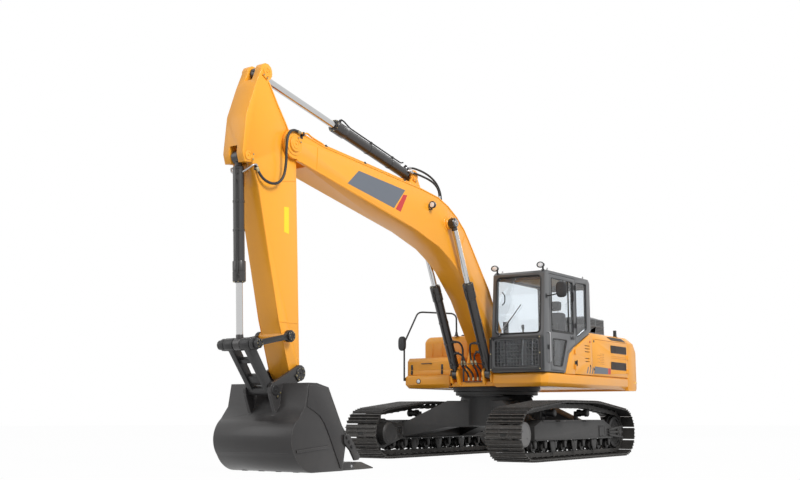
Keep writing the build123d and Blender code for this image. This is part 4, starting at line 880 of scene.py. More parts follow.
# ---------------------------------------------------------------- track frames' fittings
def frame_fittings():
    """Idler yoke with its ribs, tensioner cover, guides and steps on the outer side."""
    parts = []
    outer = 0.15
    for z in (0.5, 0.405, 0.31):
        rib = block((-1.9, outer - 0.002, z - 0.016), (-1.3, outer + 0.03, z + 0.016))
        select_faces(rib, lambda place, normal: normal.x > 0.9)
        bpy.ops.transform.translate(value=(0, 0, (0.405 - z) * 0.55))
        bpy.ops.object.mode_set(mode="OBJECT")
        parts.append(bevel(rib, 0.006))
    parts.append(billet((-1.84, outer, 0.33), (-1.68, outer + 0.024, 0.48), 0.02, 3))
    parts.append(lathe((idler_x, outer, wheel_z), Y,
                       [(0, 0.052), (0.034, 0.052), (0.04, 0.046), (0.04, 0.02)], 24))
    # tensioner window and its cover
    cover = block((-1.16, outer - 0.003, 0.33), (-0.93, outer + 0.01, 0.52))
    press(cover, lambda place, normal: normal.y > 0.9, 0.02, 0.006)
    parts.append(bevel(cover, 0.003, 1))
    for x in (-0.35, 0.62):
        parts.append(billet(
            (x - 0.11, outer + 0.01, 0.59), (x + 0.11, outer + 0.085, 0.612), 0.006))
    # guides that keep the chain on its rollers
    for x in (-0.75, 0.02, 0.79):
        for y in (-0.138, 0.118):
            guide = block((x - 0.11, y, 0.12), (x + 0.11, y + 0.02, 0.3))
            taper(guide, lambda place, normal: normal.z < -0.9, (0.55, 1, 1), (x, y, 0.12))
            parts.append(bevel(guide, 0.006))
    for x in (-1.05, -0.98):
        for z in (0.345, 0.505):
            parts.append(lathe((x, outer + 0.008, z), Y, [(0, 0.01), (0.008, 0.009)], 6))
    return join(parts)


wheel_sets(frame_fittings, "track_frame_fittings", frame_black, None, [(0, 0)])

# slew bearing: the race that turns with the house, and the one on the car body
top_race = lathe((0, 0, 1.0853), Z,
                 [(0, 0.6), (0, 0.728), (0.006, 0.734), (0.034, 0.734), (0.038, 0.742),
                  (0.07, 0.742), (0.0745, 0.735), (0.0745, 0.6)], 96)
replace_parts(settle(smooth(top_race, 40), "slew_ring_top_finished", frame_black, "house"),
            "slew_ring_top")
base_race = lathe((0, 0, 1.022), Z,
                  [(0, 0.57), (0, 0.69), (0.008, 0.697), (0.056, 0.697), (0.0625, 0.69),
                   (0.0625, 0.57)], 96)
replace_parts(settle(smooth(base_race, 40), "slew_ring_base_finished", frame_black, "undercarriage"),
            "slew_ring_base")


# ---------------------------------------------------------------- working equipment
boom_foot = Vector((0.3, 0, 1.87))
boom_tip = Vector((5.68, 0, 4.18))
boom_rod_pin = Vector((1.89, 0, 3.693))
boom_base_pin = Vector((0.803, 0, 1.36))
arm_base_pin = Vector((2.66, 0, 4.34))
arm_rod_pin = Vector((6.19, 0, 5.03))
bucket_base_pin = Vector((6.5, 0, 3.87))
link_pin_arm = Vector((5.747, 0, 1.673))
link_pin_mid = Vector((6.39, 0, 1.545))
link_pin_bucket = Vector((5.976, 0, 0.998))
bucket_pin = Vector((5.5, 0, 1.22))
boom_face, arm_face = 0.2148, 0.1648


def through_bore(piece):
    """Open the two end discs of a turned ring whose last station lies on its first."""
    take(piece)
    bpy.ops.object.mode_set(mode="EDIT")
    bpy.ops.mesh.select_mode(type="FACE")
    mesh = bmesh.from_edit_mesh(piece.data)
    for face in mesh.faces:
        face.select = len(face.verts) > 4
    bmesh.update_edit_mesh(piece.data)
    bpy.ops.mesh.delete(type="ONLY_FACE")
    bpy.ops.mesh.select_all(action="SELECT")
    bpy.ops.mesh.remove_doubles(threshold=0.0001)
    point_outwards()
    return piece


def ring(start, axis, length, radius, bore, chamfer=0.004, sides=40):
    """Collar or bush with chamfered rims and an open bore."""
    return through_bore(lathe(
        start, axis,
        [(0, bore), (0, radius - chamfer), (chamfer, radius), (length - chamfer, radius),
         (length, radius - chamfer), (length, bore), (0, bore)], sides))


def oriented(piece, place, along, up):
    """Turn a piece that was made at the origin: its x along one line, its z up another."""
    along, up = Vector(along).normalized(), Vector(up).normalized()
    turn = Matrix((along, up.cross(along), up)).transposed().to_4x4()
    piece.data.transform(Matrix.Translation(place) @ turn)
    return piece


def flat_plate(points, thick, material, name, body, sign=1):
    """Thin plate or film: an outline of (x, y, z) corners on one side, drawn out along y."""
    deselect()
    bpy.ops.mesh.primitive_circle_add(vertices=len(points), radius=1, fill_type="NGON")
    piece = bpy.context.active_object
    bpy.ops.object.mode_set(mode="EDIT")
    mesh = bmesh.from_edit_mesh(piece.data)
    for corner, place in zip(mesh.verts, points):
        corner.co = place
    bmesh.update_edit_mesh(piece.data)
    bpy.ops.mesh.select_all(action="SELECT")
    bpy.ops.mesh.extrude_region_move(TRANSFORM_OT_translate={"value": Y * sign * thick})
    point_outwards()
    return settle(piece, name, material, body)


def edge_strip(path, width, face, thick, material, name, body):
    """Raised edge of a flange plate along a run of (x, z) corners, on one side of a box beam."""
    inner = []
    for k, (x, z) in enumerate(path):
        before, after = path[max(k - 1, 0)], path[min(k + 1, len(path) - 1)]
        along = Vector((after[0] - before[0], 0, after[1] - before[1])).normalized()
        inner.append((x - along.z * width, z + along.x * width))
    sign = 1 if face > 0 else -1
    strip = flat_plate([(x, face, z) for x, z in list(path) + inner[::-1]], thick, material, name,
                       body, sign)
    return bevel(strip, 0.0016, 2)


def pin_cap(name, place, face, radius, body, towards, coat_used):
    """End of a pin: a domed cap, its keeper bar and the bar's two bolts."""
    axis = Y if face > 0 else -Y
    towards = Vector(towards).normalized()
    spot = beside(place, face)
    keeper = spot + towards * (radius + 0.016)
    cap = lathe(spot, axis,
                [(0, radius), (0.007, radius), (0.012, radius - 0.005), (0.012, radius * 0.62),
                 (0.007, radius * 0.58), (0.007, radius * 0.2), (0.014, radius * 0.16),
                 (0.017, radius * 0.08)], 40)
    bar = billet((-0.052, -0.017, 0), (0.052, 0.017, 0.014), 0.004)
    across_bar = towards.cross(axis)
    oriented(bar, keeper, across_bar, axis)
    assemble([cap, bar], name + "_cap", coat_used, body)
    bolts([keeper + across_bar * side * 0.034 + axis * 0.014 for side in (-1, 1)],
          axis, 0.01, 0.009, zinc, name + "_cap_bolts", body)


def eye(place, y, half, radius, bore, material, name, body):
    """Forged eye with its bush standing a little proud, open for the pin."""
    start = beside(place, y - half)
    forged = ring(start, Y, 2 * half, radius, bore + 0.014, 0.007)
    bush = ring(start - Y * 0.002, Y, 2 * half + 0.004, bore + 0.0145, bore, 0.001)
    return assemble([forged, bush], name, material, body)


def cylinder(name, foot, head, y, end, rod_length, r, rod_r, half, out):
    """Hydraulic cylinder: round barrel with collar, gland, ports and a steel line; polished rod."""
    body, rod_body = node_body[name + "_barrel"], node_body[name + "_rod"]
    foot, head = beside(foot, y), beside(head, y)
    along = (head - foot).normalized()
    out = (out - along * out.dot(along)).normalized()
    tube = lathe(foot, along,
                 [(0.074, 0.046), (0.118, 0.048), (0.124, r - 0.01), (0.13, r), (0.152, r),
                  (0.155, r + 0.004), (0.163, r + 0.004), (0.166, r), (end - 0.272, r),
                  (end - 0.267, r + 0.01), (end - 0.262, r + 0.012), (end - 0.15, r + 0.012),
                  (end - 0.147, r + 0.009), (end - 0.141, r + 0.009), (end - 0.138, r + 0.012),
                  (end - 0.024, r + 0.012), (end - 0.017, r + 0.006), (end - 0.015, r - 0.01),
                  (end - 0.003, r - 0.012), (end, r - 0.018), (end, rod_r + 0.008),
                  (end - 0.004, rod_r + 0.002), (0.132, rod_r + 0.002)], 48)
    fittings = [tube]
    for far in (0.205, end - 0.08):
        port = foot + along * far + out * (r - 0.004)
        fittings.append(lathe(
            port, out, [(0, 0.027), (0.02, 0.027), (0.024, 0.022), (0.04, 0.022)], 6))
    for far in (0.55, 0.5 * end + 0.12):
        fittings.append(ring(foot + along * far, along, 0.03, r + 0.005, r + 0.0008, 0.002, 40))
        fittings.append(lathe(
            foot + along * (far + 0.015) + out * (r + 0.002), out,
            [(0, 0.018), (0.027, 0.018), (0.031, 0.014)], 8))
    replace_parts(assemble(fittings, name + "_barrel_finished", barrel_black, body, 30),
                name + "_barrel")
    line_route = ((end - 0.08, r + 0.012), (end - 0.08, r + 0.048), (end - 0.15, r + 0.048),
                  (end - 0.32, r + 0.017), (0.34, r + 0.017), (0.3, r + 0.044))
    pipe([foot + along * far + out * off for far, off in line_route], 0.011, frame_black,
         name + "_line", body, 0.03)
    bolts([foot + along * (end - 0.016) + turned_about(out, along, k * math.pi / 4) * (r + 0.001)
           for k in range(8)], along, 0.0075, 0.008, zinc, name + "_gland_bolts", body)
    eye(foot, y, half - 0.002, 0.082, 0.0458, barrel_black, name + "_foot_eye", body)
    rod = lathe(head, along,
                [(-rod_length, rod_r - 0.003), (-rod_length + 0.003, rod_r), (-0.116, rod_r),
                 (-0.114, rod_r - 0.002)], 48)
    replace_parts(settle(smooth(rod), name + "_rod_finished", chrome, rod_body), name + "_rod")
    neck = lathe(head, along,
                 [(-0.118, rod_r + 0.002), (-0.112, rod_r + 0.004), (-0.1, rod_r + 0.004),
                  (-0.096, 0.047), (-0.06, 0.047)], 40)
    closed = lathe(beside(head, y - half), Y,
                   [(0.004, 0.043), (0.0, 0.046), (0, 0.073), (0.007, 0.08),
                    (2 * half - 0.007, 0.08), (2 * half, 0.073), (2 * half, 0.046),
                    (2 * half - 0.004, 0.043)], 40)
    nipple = lathe(head + along * 0.076, along,
                   [(0, 0.01), (0.006, 0.01), (0.006, 0.006), (0.018, 0.006)], 6)
    assemble([neck, closed, nipple], name + "_rod_eye", barrel_black, rod_body)


def turned_about(direction, axis, angle):
    return Matrix.Rotation(angle, 3, axis) @ direction


cylinder("boom_cylinder_left", boom_base_pin, boom_rod_pin, 0.312, 1.575, 1.8, 0.076, 0.045, 0.05,
         Vector((1, -0.1, 0)))
cylinder("boom_cylinder_right", boom_base_pin, boom_rod_pin, -0.312, 1.575, 1.8, 0.076, 0.045, 0.05,
         Vector((1, 0.1, 0)))
cylinder("arm_cylinder", arm_base_pin, arm_rod_pin, 0, 1.975, 2.18, 0.082, 0.05, 0.055,
         Vector((-0.3, 0.5, 0.8)))
cylinder("bucket_cylinder", bucket_base_pin, link_pin_mid, 0, 1.577, 1.64, 0.07, 0.042, 0.055,
         Vector((1, 0.6, 0)))

for sign, side in both_sides:
    for name, place, face, radius, body, towards, finish in (
            ("boom_foot_pin", boom_foot, 0.2605, 0.075, "house", (0.3, 0, -1), zinc),
            ("boom_cylinder_foot_pin", boom_base_pin, 0.3645, 0.058, "house", (1, 0, 0.3),
             link_black),
            ("arm_cylinder_foot_pin", arm_base_pin, 0.0955, 0.056, "boom_body", (0.2, 0, -1),
             orange),
            ("arm_cylinder_rod_pin", arm_rod_pin, 0.1655, 0.066, "arm_body", (0.5, 0, -1), orange),
            ("bucket_cylinder_foot_pin", bucket_base_pin, 0.1655, 0.06, "arm_body", (-1, 0, -0.1),
             orange),
            ("bucket_pin", bucket_pin, 0.2255, 0.074, "bucket_body", (1, 0, -0.9), link_black),
            ("bucket_link_pin", link_pin_bucket, 0.2255, 0.066, "bucket_body", (-1, 0, -1),
             link_black),):
        pin_cap(name + "_" + side, place, sign * face, radius, body, towards, finish)
    # big pin of the boom's tip: weld ring, boss, cap held by a circle of bolts
    tip = beside(boom_tip, sign * boom_face)
    collar = ring(tip, Y * sign, 0.01, 0.15, 0.06, 0.004, 48)
    boss = ring(tip, Y * sign, 0.032, 0.105, 0.06, 0.006, 48)
    assemble([collar, boss], "boom_tip_boss_" + side, orange, "boom_body")
    pin_cap("boom_tip_pin_" + side, boom_tip, sign * 0.2405, 0.07, "boom_body", (-0.7, 0, 0.7),
            orange)
    # rod pin of the boom cylinder: tube in the boom, washer and nut outside the eye
    bore = beside(boom_rod_pin, sign * boom_face)
    tube = ring(bore, Y * sign, 0.04, 0.092, 0.055, 0.006, 48)
    weld = ring(bore, Y * sign, 0.008, 0.125, 0.06, 0.004, 48)
    assemble([tube, weld], "boom_rod_boss_" + side, orange, "boom_body")
    nut = lathe(beside(boom_rod_pin, sign * 0.3625), Y * sign,
                [(0, 0.056), (0.01, 0.056), (0.013, 0.05), (0.013, 0.036), (0.03, 0.034),
                 (0.034, 0.026)], 32)
    settle(smooth(nut, 30), "boom_rod_nut_" + side, bare_steel,
           node_body["boom_cylinder_%s_rod" % side])
    # links: collars on the shared pin, and a cap on the arm's pin
    collar = lathe(beside(link_pin_mid, sign * 0.272), Y * sign, [
        (0, 0.05), (0, 0.06), (0.052, 0.06), (0.06, 0.052), (0.06, 0.034), (0.054, 0.03)], 36)
    settle(smooth(collar, 30), "link_collar_" + side, link_black, node_body["bucket_link"])
    cap = lathe(beside(link_pin_arm, sign * 0.2815), Y * sign,
                [(0, 0.064), (0.006, 0.064), (0.01, 0.058), (0.01, 0.03), (0.004, 0.026)], 36)
    settle(smooth(cap, 30), "link_arm_cap_" + side, link_black, "arm_body")
    for place, name, radius, face, body in (
            (link_pin_mid, "link_collar", 0.044, 0.332, node_body["bucket_link"]),
            (link_pin_arm, "link_arm_cap", 0.046, 0.2915, "arm_body"),
            (bucket_pin, "bucket_pin", 0.062, 0.2375, "bucket_body")):
        centre = beside(place, sign * face)
        bolts([centre + radius * Vector((math.cos(turn), 0, math.sin(turn)))
               for turn in full_turn(6)], Y * sign, 0.006, 0.006, zinc,
              "%s_ring_bolts_%s" % (name, side), body)

# weld beads across the boom and the arm
for sign, side in both_sides:
    for name, body, y, points in (
            ("boom_knee_joint_" + side, "boom_body", 0.2145,
             ((1.372, 3.56), (1.386, 3.566), (1.642, 3.062), (1.628, 3.054))),
            ("boom_tip_joint_" + side, "boom_body", 0.2145,
             ((5.18, 4.27), (5.194, 4.272), (5.214, 3.924), (5.2, 3.921))),
            ("arm_joint_upper_" + side, "arm_body", 0.1645,
             ((5.585, 3.72), (5.587, 3.706), (6.318, 3.56), (6.316, 3.574))),
            ("arm_joint_lower_" + side, "arm_body", 0.1645,
             ((5.5, 1.86), (5.5, 1.848), (5.85, 1.848), (5.854, 1.86))),):
        bead = flat_plate([(x, sign * y, z) for x, z in points], 0.005, orange, name, body, sign)
        bevel(bead, 0.0018, 2)

# steel lines along the boom's top, in their clamps
line_route = ((2.905, 4.145), (2.925, 4.168), (3.1, 4.1805), (4.1, 4.2443), (5.04, 4.304),
              (5.075, 4.318))
for sign, name in ((1, "boom_line_%d"), (-1, "boom_line_right_%d")):
    for k, y in enumerate((0.155, 0.19)):
        pipe([(x, sign * y, z) for x, z in line_route], 0.013, orange, name % k, "boom_body", 0.02)
clamps = []
for x, z in ((3.1, 4.1635), (4.1, 4.2275), (5.0, 4.285)):
    for sign in (1, -1):
        shoe = billet((-0.03, -0.036, -0.004), (0.03, 0.036, 0.021), 0.004)
        clamps.append(oriented(
            shoe, Vector((x, sign * 0.1725, z)), (1, 0, 0.0638), (-0.0638, 0, 1)))
        strap = billet((-0.014, -0.036, 0.02), (0.014, 0.036, 0.034), 0.006, 3)
        clamps.append(oriented(
            strap, Vector((x, sign * 0.1725, z)), (1, 0, 0.0638), (-0.0638, 0, 1)))
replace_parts(assemble(clamps, "boom_line_clamps", link_black, "boom_body"), "boom_pipes")

# work lamp on the boom
lamp_body = lathe((2.4, 0.285, 3.9), X,
                  [(0, 0.018), (0.004, 0.034), (0.02, 0.05), (0.048, 0.058), (0.064, 0.058),
                   (0.07, 0.053), (0.07, 0.046), (0.062, 0.044)], 40)
foot = billet((2.395, 0.216, 3.83), (2.445, 0.252, 3.838), 0.002)
stay = billet((2.398, 0.25, 3.83), (2.442, 0.256, 3.905), 0.002)
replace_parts(assemble([lamp_body, foot, stay], "boom_lamp_finished", plastic, "boom_body"),
            "boom_lamp")
glass = lathe((2.4635, 0.285, 3.9), X, [(0, 0.044), (0.002, 0.043), (0.005, 0.03), (0.006, 0.01)],
              32)
settle(smooth(glass, 60), "boom_lamp_lens", lens, "boom_body")

# films on the boom and the arm
film_thick = 0.0012
for sign, side in both_sides:
    panel = ((4.269, 4.097), (3.1, 4.022), (3.396, 3.701), (4.53, 3.868))
    bar = ((3.148, 3.946), (3.045, 3.954), (3.222, 3.675), (3.352, 3.696))
    if sign < 0:
        panel, bar = [[(7.6 - x, z + (7.6 - 2 * x) * 0.123) for x, z in film] for film in (
            panel, bar)]
    flat_plate([(x, sign * 0.2152, z) for x, z in panel], film_thick, label_grey,
               "boom_film_" + side, "boom_body", sign)
    flat_plate([(x, sign * 0.2152, z) for x, z in bar], film_thick, label_red,
               "boom_film_bar_" + side, "boom_body", sign)
    flat_plate([(5.804, sign * 0.1652, 3.333), (5.711, sign * 0.1652, 3.338),
                (5.702, sign * 0.1652, 2.992), (5.795, sign * 0.1652, 3.005)], film_thick,
               label_yellow, "arm_film_" + side, "arm_body", sign)
# raised edges of the flange plates
boom_top = ((5.48, 4.352), (5.08, 4.285), (2.65, 4.13), (2.17, 4.075), (1.885, 3.982),
            (1.625, 3.847), (1.385, 3.667), (1.204, 3.467), (0.604, 2.757), (0.16, 2.03))
boom_belly = ((0.49, 1.75), (1.118, 2.566), (1.588, 2.987), (1.859, 3.147), (2.169, 3.292),
              (2.829, 3.472), (3.699, 3.637), (5.54, 3.966))
arm_rear = ((6.14, 4.905), (5.965, 4.655), (5.796, 4.437), (5.7, 4.29))
arm_front = ((5.655, 1.24), (5.876, 1.88), (6.074, 2.64), (6.294, 3.5), (6.4, 3.77))
for sign, side in both_sides:
    edge_strip(boom_top, 0.018, sign * boom_face, 0.007, orange, "boom_top_edge_" + side,
               "boom_body")
    edge_strip(boom_belly, 0.018, sign * boom_face, 0.006, orange, "boom_belly_edge_" + side,
               "boom_body")
for sign, side in both_sides:
    edge_strip(arm_rear, 0.022, sign * arm_face, 0.008, orange, "arm_rear_edge_" + side, "arm_body")
    edge_strip(arm_front, 0.014, sign * arm_face, 0.004, orange, "arm_front_edge_" + side,
               "arm_body")


# ---------------------------------------------------------------- bucket
def drawn_block(low, high, axis, reach, share, centre, width):
    """Wedge: a block whose far face is drawn out along an axis and scaled about a centre."""
    piece = block(low, high)
    axis = Vector(axis)
    select_faces(piece, lambda place, normal: normal.dot(axis) > 0.9)
    bpy.ops.mesh.extrude_region_move(TRANSFORM_OT_translate={"value": axis * reach})
    bpy.ops.transform.resize(value=share, center_override=centre)
    bpy.ops.object.mode_set(mode="OBJECT")
    return bevel(piece, width, 3, 20)


teeth, adaptors, tooth_pins = [], [], []
for k in range(5):
    y = (k - 2) * 0.2765
    teeth.append(drawn_block(
        (4.7, y - 0.056, 0.0), (4.885, y + 0.056, 0.096), (-1, 0, 0), 0.295, (1, 0.55, 0.14),
        (4.405, y, 0.002), 0.007))
    adaptors.append(drawn_block(
        (4.86, y - 0.062, -0.004), (5.06, y + 0.062, 0.104), (1, 0, 0), 0.2, (1, 0.9, 0.55),
        (5.26, y, 0.01), 0.01))
    for side in (-1, 1):
        tooth_pins.append(lathe(
            (4.925, y + side * 0.0615, 0.05), (0, side, 0),
            [(0, 0.02), (0.004, 0.02), (0.007, 0.015), (0.004, 0.01)], 16))
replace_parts(assemble(teeth, "bucket_teeth_points", tooth_iron, "bucket_body"), "bucket_teeth")
assemble(adaptors, "bucket_teeth_adaptors", bucket_black, "bucket_body")
assemble(tooth_pins, "bucket_teeth_pins", bare_steel, "bucket_body")
for sign, side in both_sides:
    face = sign * 0.6395
    for name, thick, points in (
            ("bucket_mouth_plate", 0.01,
             ((5.15, 0.03), (5.188, 0.03), (5.25, 0.14), (5.315, 0.248), (5.385, 0.375),
              (5.47, 0.51), (5.535, 0.605), (5.62, 0.685), (5.74, 0.745), (5.868, 0.796),
              (5.826, 1.052), (5.676, 1.052), (5.452, 1.018), (5.174, 0.558), (5.07, 0.45))),
            ("bucket_side_bar", 0.016,
             ((6.052, 0.24), (5.436, 0.288), (5.436, 0.322), (6.06, 0.276))),
            ("bucket_cutter", 0.034,
             ((5.15, 0.45), (5.043, 0.45), (4.808, 0.163), (4.85, 0.128), (4.924, 0.121),
              (5.02, 0.25), (5.15, 0.345))),):
        bevel(flat_plate([(x, face, z) for x, z in points], thick, bucket_black, name + "_" + side,
                         "bucket_body", sign), 0.004, 2)
    bolts([(5.105, face + sign * 0.034, 0.415), (5.055, face + sign * 0.034, 0.355),
           (5.005, face + sign * 0.034, 0.292)], Y * sign, 0.02, 0.02, link_black,
          "bucket_cutter_bolts_" + side, "bucket_body")
    # feet of the ears on the shell
    y = sign * 0.2025
    settle(billet((5.88, y - 0.036, 0.64), (5.985, y + 0.036, 0.7), 0.012, 3),
           "bucket_ear_foot_" + side, bucket_black, "bucket_body")
# wear straps under the shell and a bar across its back
straps = [billet((5.33, y - 0.04, -0.004), (5.8, y + 0.04, 0.012), 0.005) for y in (
    -0.42, -0.14, 0.14, 0.42)]
bar = billet((-0.03, -0.56, -0.01), (0.03, 0.56, 0.01), 0.007, 3)
straps.append(oriented(bar, Vector((6.098, 0, 0.268)), (0.2, 0, 0.98), (0.98, 0, -0.2)))
assemble(straps, "bucket_wear_straps", bucket_black, "bucket_body")
# link: webs between its two bars
along_link = (link_pin_bucket - link_pin_mid).normalized()
webs = []
for share, long in ((0.34, 0.06), (0.74, 0.11)):
    web = billet((-long / 2, -0.1, -0.036), (long / 2, 0.1, 0.036), 0.008, 3)
    webs.append(oriented(web, link_pin_mid.lerp(link_pin_bucket, share), along_link,
                         along_link.cross(Y)))
assemble(webs, "bucket_link_webs", link_black, node_body["bucket_link"])


# ---------------------------------------------------------------- cab
def loop_seal(points, radius, material, name, body, round_off=0.05):
    """Rubber section that runs round an opening with rounded corners and closes on itself."""
    corners = [Vector(p) for p in points]
    start = (corners[-1] + corners[0]) / 2
    route = round_corners([start] + corners + [start], round_off)[:-1]
    return settle(smooth(tube_along(route, radius, 2, name, closed=True), 60), name, material, body)


def across(x, sides, heights):
    """Corners of an upright rectangle across the machine."""
    (right, left), (low, high) = sides, heights
    return [(x, right, low), (x, left, low), (x, left, high), (x, right, high)]


def level(ends, sides, z):
    """Corners of a level rectangle."""
    (front, rear), (right, left) = ends, sides
    return [(front, right, z), (front, left, z), (rear, left, z), (rear, right, z)]


def screen_x(z):
    return 0.88 - (z - 1.95) * 0.0808


door_body = node_body["cab_door"]
cab_mid, cab_side, cab_floor = 0.8885, 1.3605, 1.427
screen_sides = (0.487, 1.29)
loop_seal([(screen_x(z) + 0.002, y, z) for x, y, z in across(0, screen_sides, (1.99, 2.915))],
          0.013, gasket, "windscreen_gasket", "house", 0.075)
loop_seal(across(0.881, screen_sides, (1.465, 1.905)), 0.012, gasket, "lower_screen_gasket",
          "house", 0.07)
loop_seal(across(-0.902, screen_sides, (2.195, 2.845)), 0.012, gasket, "rear_screen_gasket",
          "house", 0.07)
loop_seal([(x, 1.3585, z) for x, z in (
    (-0.335, 1.984), (-0.726, 2.136), (-0.746, 2.91), (-0.335, 2.896))], 0.009, gasket,
          "side_window_gasket_left", "house", 0.03)
loop_seal([(x, 0.4185, z) for x, z in (
    (0.746, 1.994), (0.694, 2.906), (-0.806, 2.906), (-0.806, 1.994))], 0.01, gasket,
          "side_window_gasket_right", "house", 0.04)
loop_seal([(x, 1.359, z) for x, z in (
    (0.596, 2.024), (0.581, 2.886), (-0.211, 2.886), (-0.211, 2.024))], 0.01, gasket,
          "door_window_gasket", door_body, 0.03)
loop_seal([(x, 1.359, z) for x, z in (
    (0.566, 1.474), (0.566, 1.906), (0.05, 1.906), (0.246, 1.474))], 0.009, gasket,
          "door_lower_gasket", door_body, 0.04)
# sliding sash of the door's window: upright, lower rail and pull
sash = [billet((-0.062, 1.3455, 2.03), (-0.032, 1.3615, 2.88), 0.004),
        billet((-0.205, 1.3455, 2.028), (0.59, cab_side, 2.05), 0.003),
        billet((-0.02, 1.3595, 2.42), (-0.006, 1.3695, 2.52), 0.004)]
assemble(sash, "door_window_sash", gasket, door_body)
# door hinges, grab bar, handle and lock
hinges = []
for z in (1.5, 2.12, 2.76):
    hinges.append(lathe((-0.2925, 1.372, z), Z,
                        [(0, 0.008), (0, 0.011), (0.085, 0.011), (0.088, 0.008), (0.094, 0.008),
                         (0.096, 0.006)], 16))
    hinges.append(billet((-0.285, cab_side, z + 0.008), (-0.225, 1.3665, z + 0.078), 0.0025))
assemble(hinges, "cab_door_hinges", plastic, door_body)
pipe([(-0.16, cab_side, 2.556), (-0.16, 1.395, 2.566), (-0.16, 1.395, 2.716),
      (-0.16, cab_side, 2.726)], 0.01, plastic, "cab_door_grab", door_body, 0.02)
latch = [billet((-0.235, 1.3595, 1.925), (-0.095, 1.3665, 1.985), 0.005, 3),
         billet((-0.215, 1.3665, 1.945), (-0.115, 1.3765, 1.966), 0.006, 3)]
assemble(latch, "cab_door_handle", plastic, door_body)
keyhole = lathe((-0.115, 1.366, 1.9745), Y,
                [(0, 0.009), (0.003, 0.009), (0.003, 0.004), (0.001, 0.003)], 20)
settle(smooth(keyhole, 30), "cab_door_lock", bare_steel, door_body)
# grab bar and catch on the front pillar
pipe([(0.735, cab_side, 1.52), (0.735, 1.396, 1.535), (0.735, 1.396, 1.985),
      (0.735, cab_side, 2.0)], 0.011, bare_steel, "cab_pillar_rail", "house", 0.02)
settle(billet((0.7, cab_side, 1.725), (0.76, 1.3755, 1.8), 0.006, 3), "cab_door_catch", plastic,
       "house")

# guard over the lower screen: a grid of bars in a rounded frame, and a ladder of bars beside it
upright_wire, level_wire = [(0, 0.0042), (0.456, 0.0042)], [(0, 0.0038), (0.815, 0.0038)]
wires = [lathe((0.9425, 0.5 + k * 0.0562, 1.437), Z, upright_wire, 6) for k in range(15)]
wires += [lathe((0.948, 0.48, 1.47 + k * 0.0558), Y, level_wire, 6) for k in range(8)]
assemble(wires, "guard_mesh", cab_grey, "house", 50)
loop_seal(across(0.946, (0.482, 1.292), (1.44, 1.89)), 0.01, cab_grey, "guard_inner_frame", "house",
          0.06)
uprights = [billet((0.936, 0.452, 1.432), (0.952, 0.468, 1.898), 0.003)]
for z in (1.5, 1.56, 1.62, 1.68, 1.74, 1.8, 1.86):
    uprights.append(billet((0.938, 0.4525, z), (0.95, 0.482, z + 0.01), 0.002))
assemble(uprights, "guard_uprights", cab_grey, "house")
bolts([(0.9605, y, z) for y in (0.435, 1.318) for z in (1.415, 1.665, 1.915)], X, 0.009, 0.008,
      zinc, "guard_bolts", "house")

# wiper: spindle, arm and blade that follow the screen's lean
spindle = lathe((screen_x(2.01) + 0.004, 0.56, 1.965), (1, 0, 0.08),
                [(0, 0.02), (0.014, 0.02), (0.022, 0.012), (0.026, 0.008)], 24)
settle(smooth(spindle), "wiper_spindle", plastic, "house")
pipe([(screen_x(1.965) + 0.022, 0.56, 1.965), (screen_x(2.1) + 0.032, 0.64, 2.09),
      (screen_x(2.29) + 0.022, 0.8, 2.27)], 0.0055, bare_steel, "wiper_arm", "house", 0.04)
blade = billet((-0.23, -0.004, -0.009), (0.23, 0.004, 0.009), 0.002)
oriented(blade, Vector((screen_x(2.29) + 0.012, 0.8, 2.27)), (-0.05, 0.62, 0.78), (1, 0, 0.08))
settle(blade, "wiper_blade", gasket, "house")

# roof lamps, lifting eyes, roof seam and hatch
for k, y in enumerate((0.47, 1.306)):
    shell = lathe((0.79, y, 3.072), X,
                  [(0, 0.02), (0.005, 0.034), (0.02, 0.045), (0.052, 0.05), (0.066, 0.05),
                   (0.07, 0.046), (0.07, 0.04), (0.063, 0.038)], 36)
    oval(shell, y, 3.072, 1.32, 1.0, 2)
    stay = billet((0.748, y - 0.013, 3.0005), (0.768, y + 0.013, 3.05), 0.004)
    arm_plate = billet((0.748, y - 0.011, 3.036), (0.806, y + 0.011, 3.05), 0.004)
    foot = billet((0.74, y - 0.022, 3.0004), (0.79, y + 0.022, 3.0065), 0.002)
    assemble([shell, stay, arm_plate, foot], "cab_lamp_%d" % k, plastic, "house")
    glass = lathe((0.8535, y, 3.072), X,
                  [(0, 0.038), (0.002, 0.037), (0.005, 0.026), (0.006, 0.008)], 28)
    settle(smooth(oval(glass, y, 3.072, 1.32, 1.0, 2), 60), "cab_lamp_lens_%d" % k, lens, "house")
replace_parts(scene.objects["cab_lamp_0"], "cab_lamps")
eyes = []
for x, y in ((0.64, 0.5), (0.6, 1.3), (-0.78, 1.29), (-0.78, 0.5)):
    eyes.append(lathe((x, y, 3.0002), Z, [(0, 0.02), (0.006, 0.02), (0.008, 0.012), (0.018, 0.01)],
                      20))
    eyes.append(ring((x, y - 0.006, 3.034), Y, 0.012, 0.022, 0.012, 0.004, 24))
assemble(eyes, "cab_lifting_eyes", bare_steel, "house", 40)
loop_seal(level((0.735, -0.83), (0.44, 1.338), 2.9935), 0.009, cab_grey, "cab_roof_seam", "house",
          0.05)
bevel(settle(block((-0.52, 0.56, 2.999), (0.26, 1.21, 3.006)), "cab_roof_hatch", cab_grey, "house"),
      0.003)

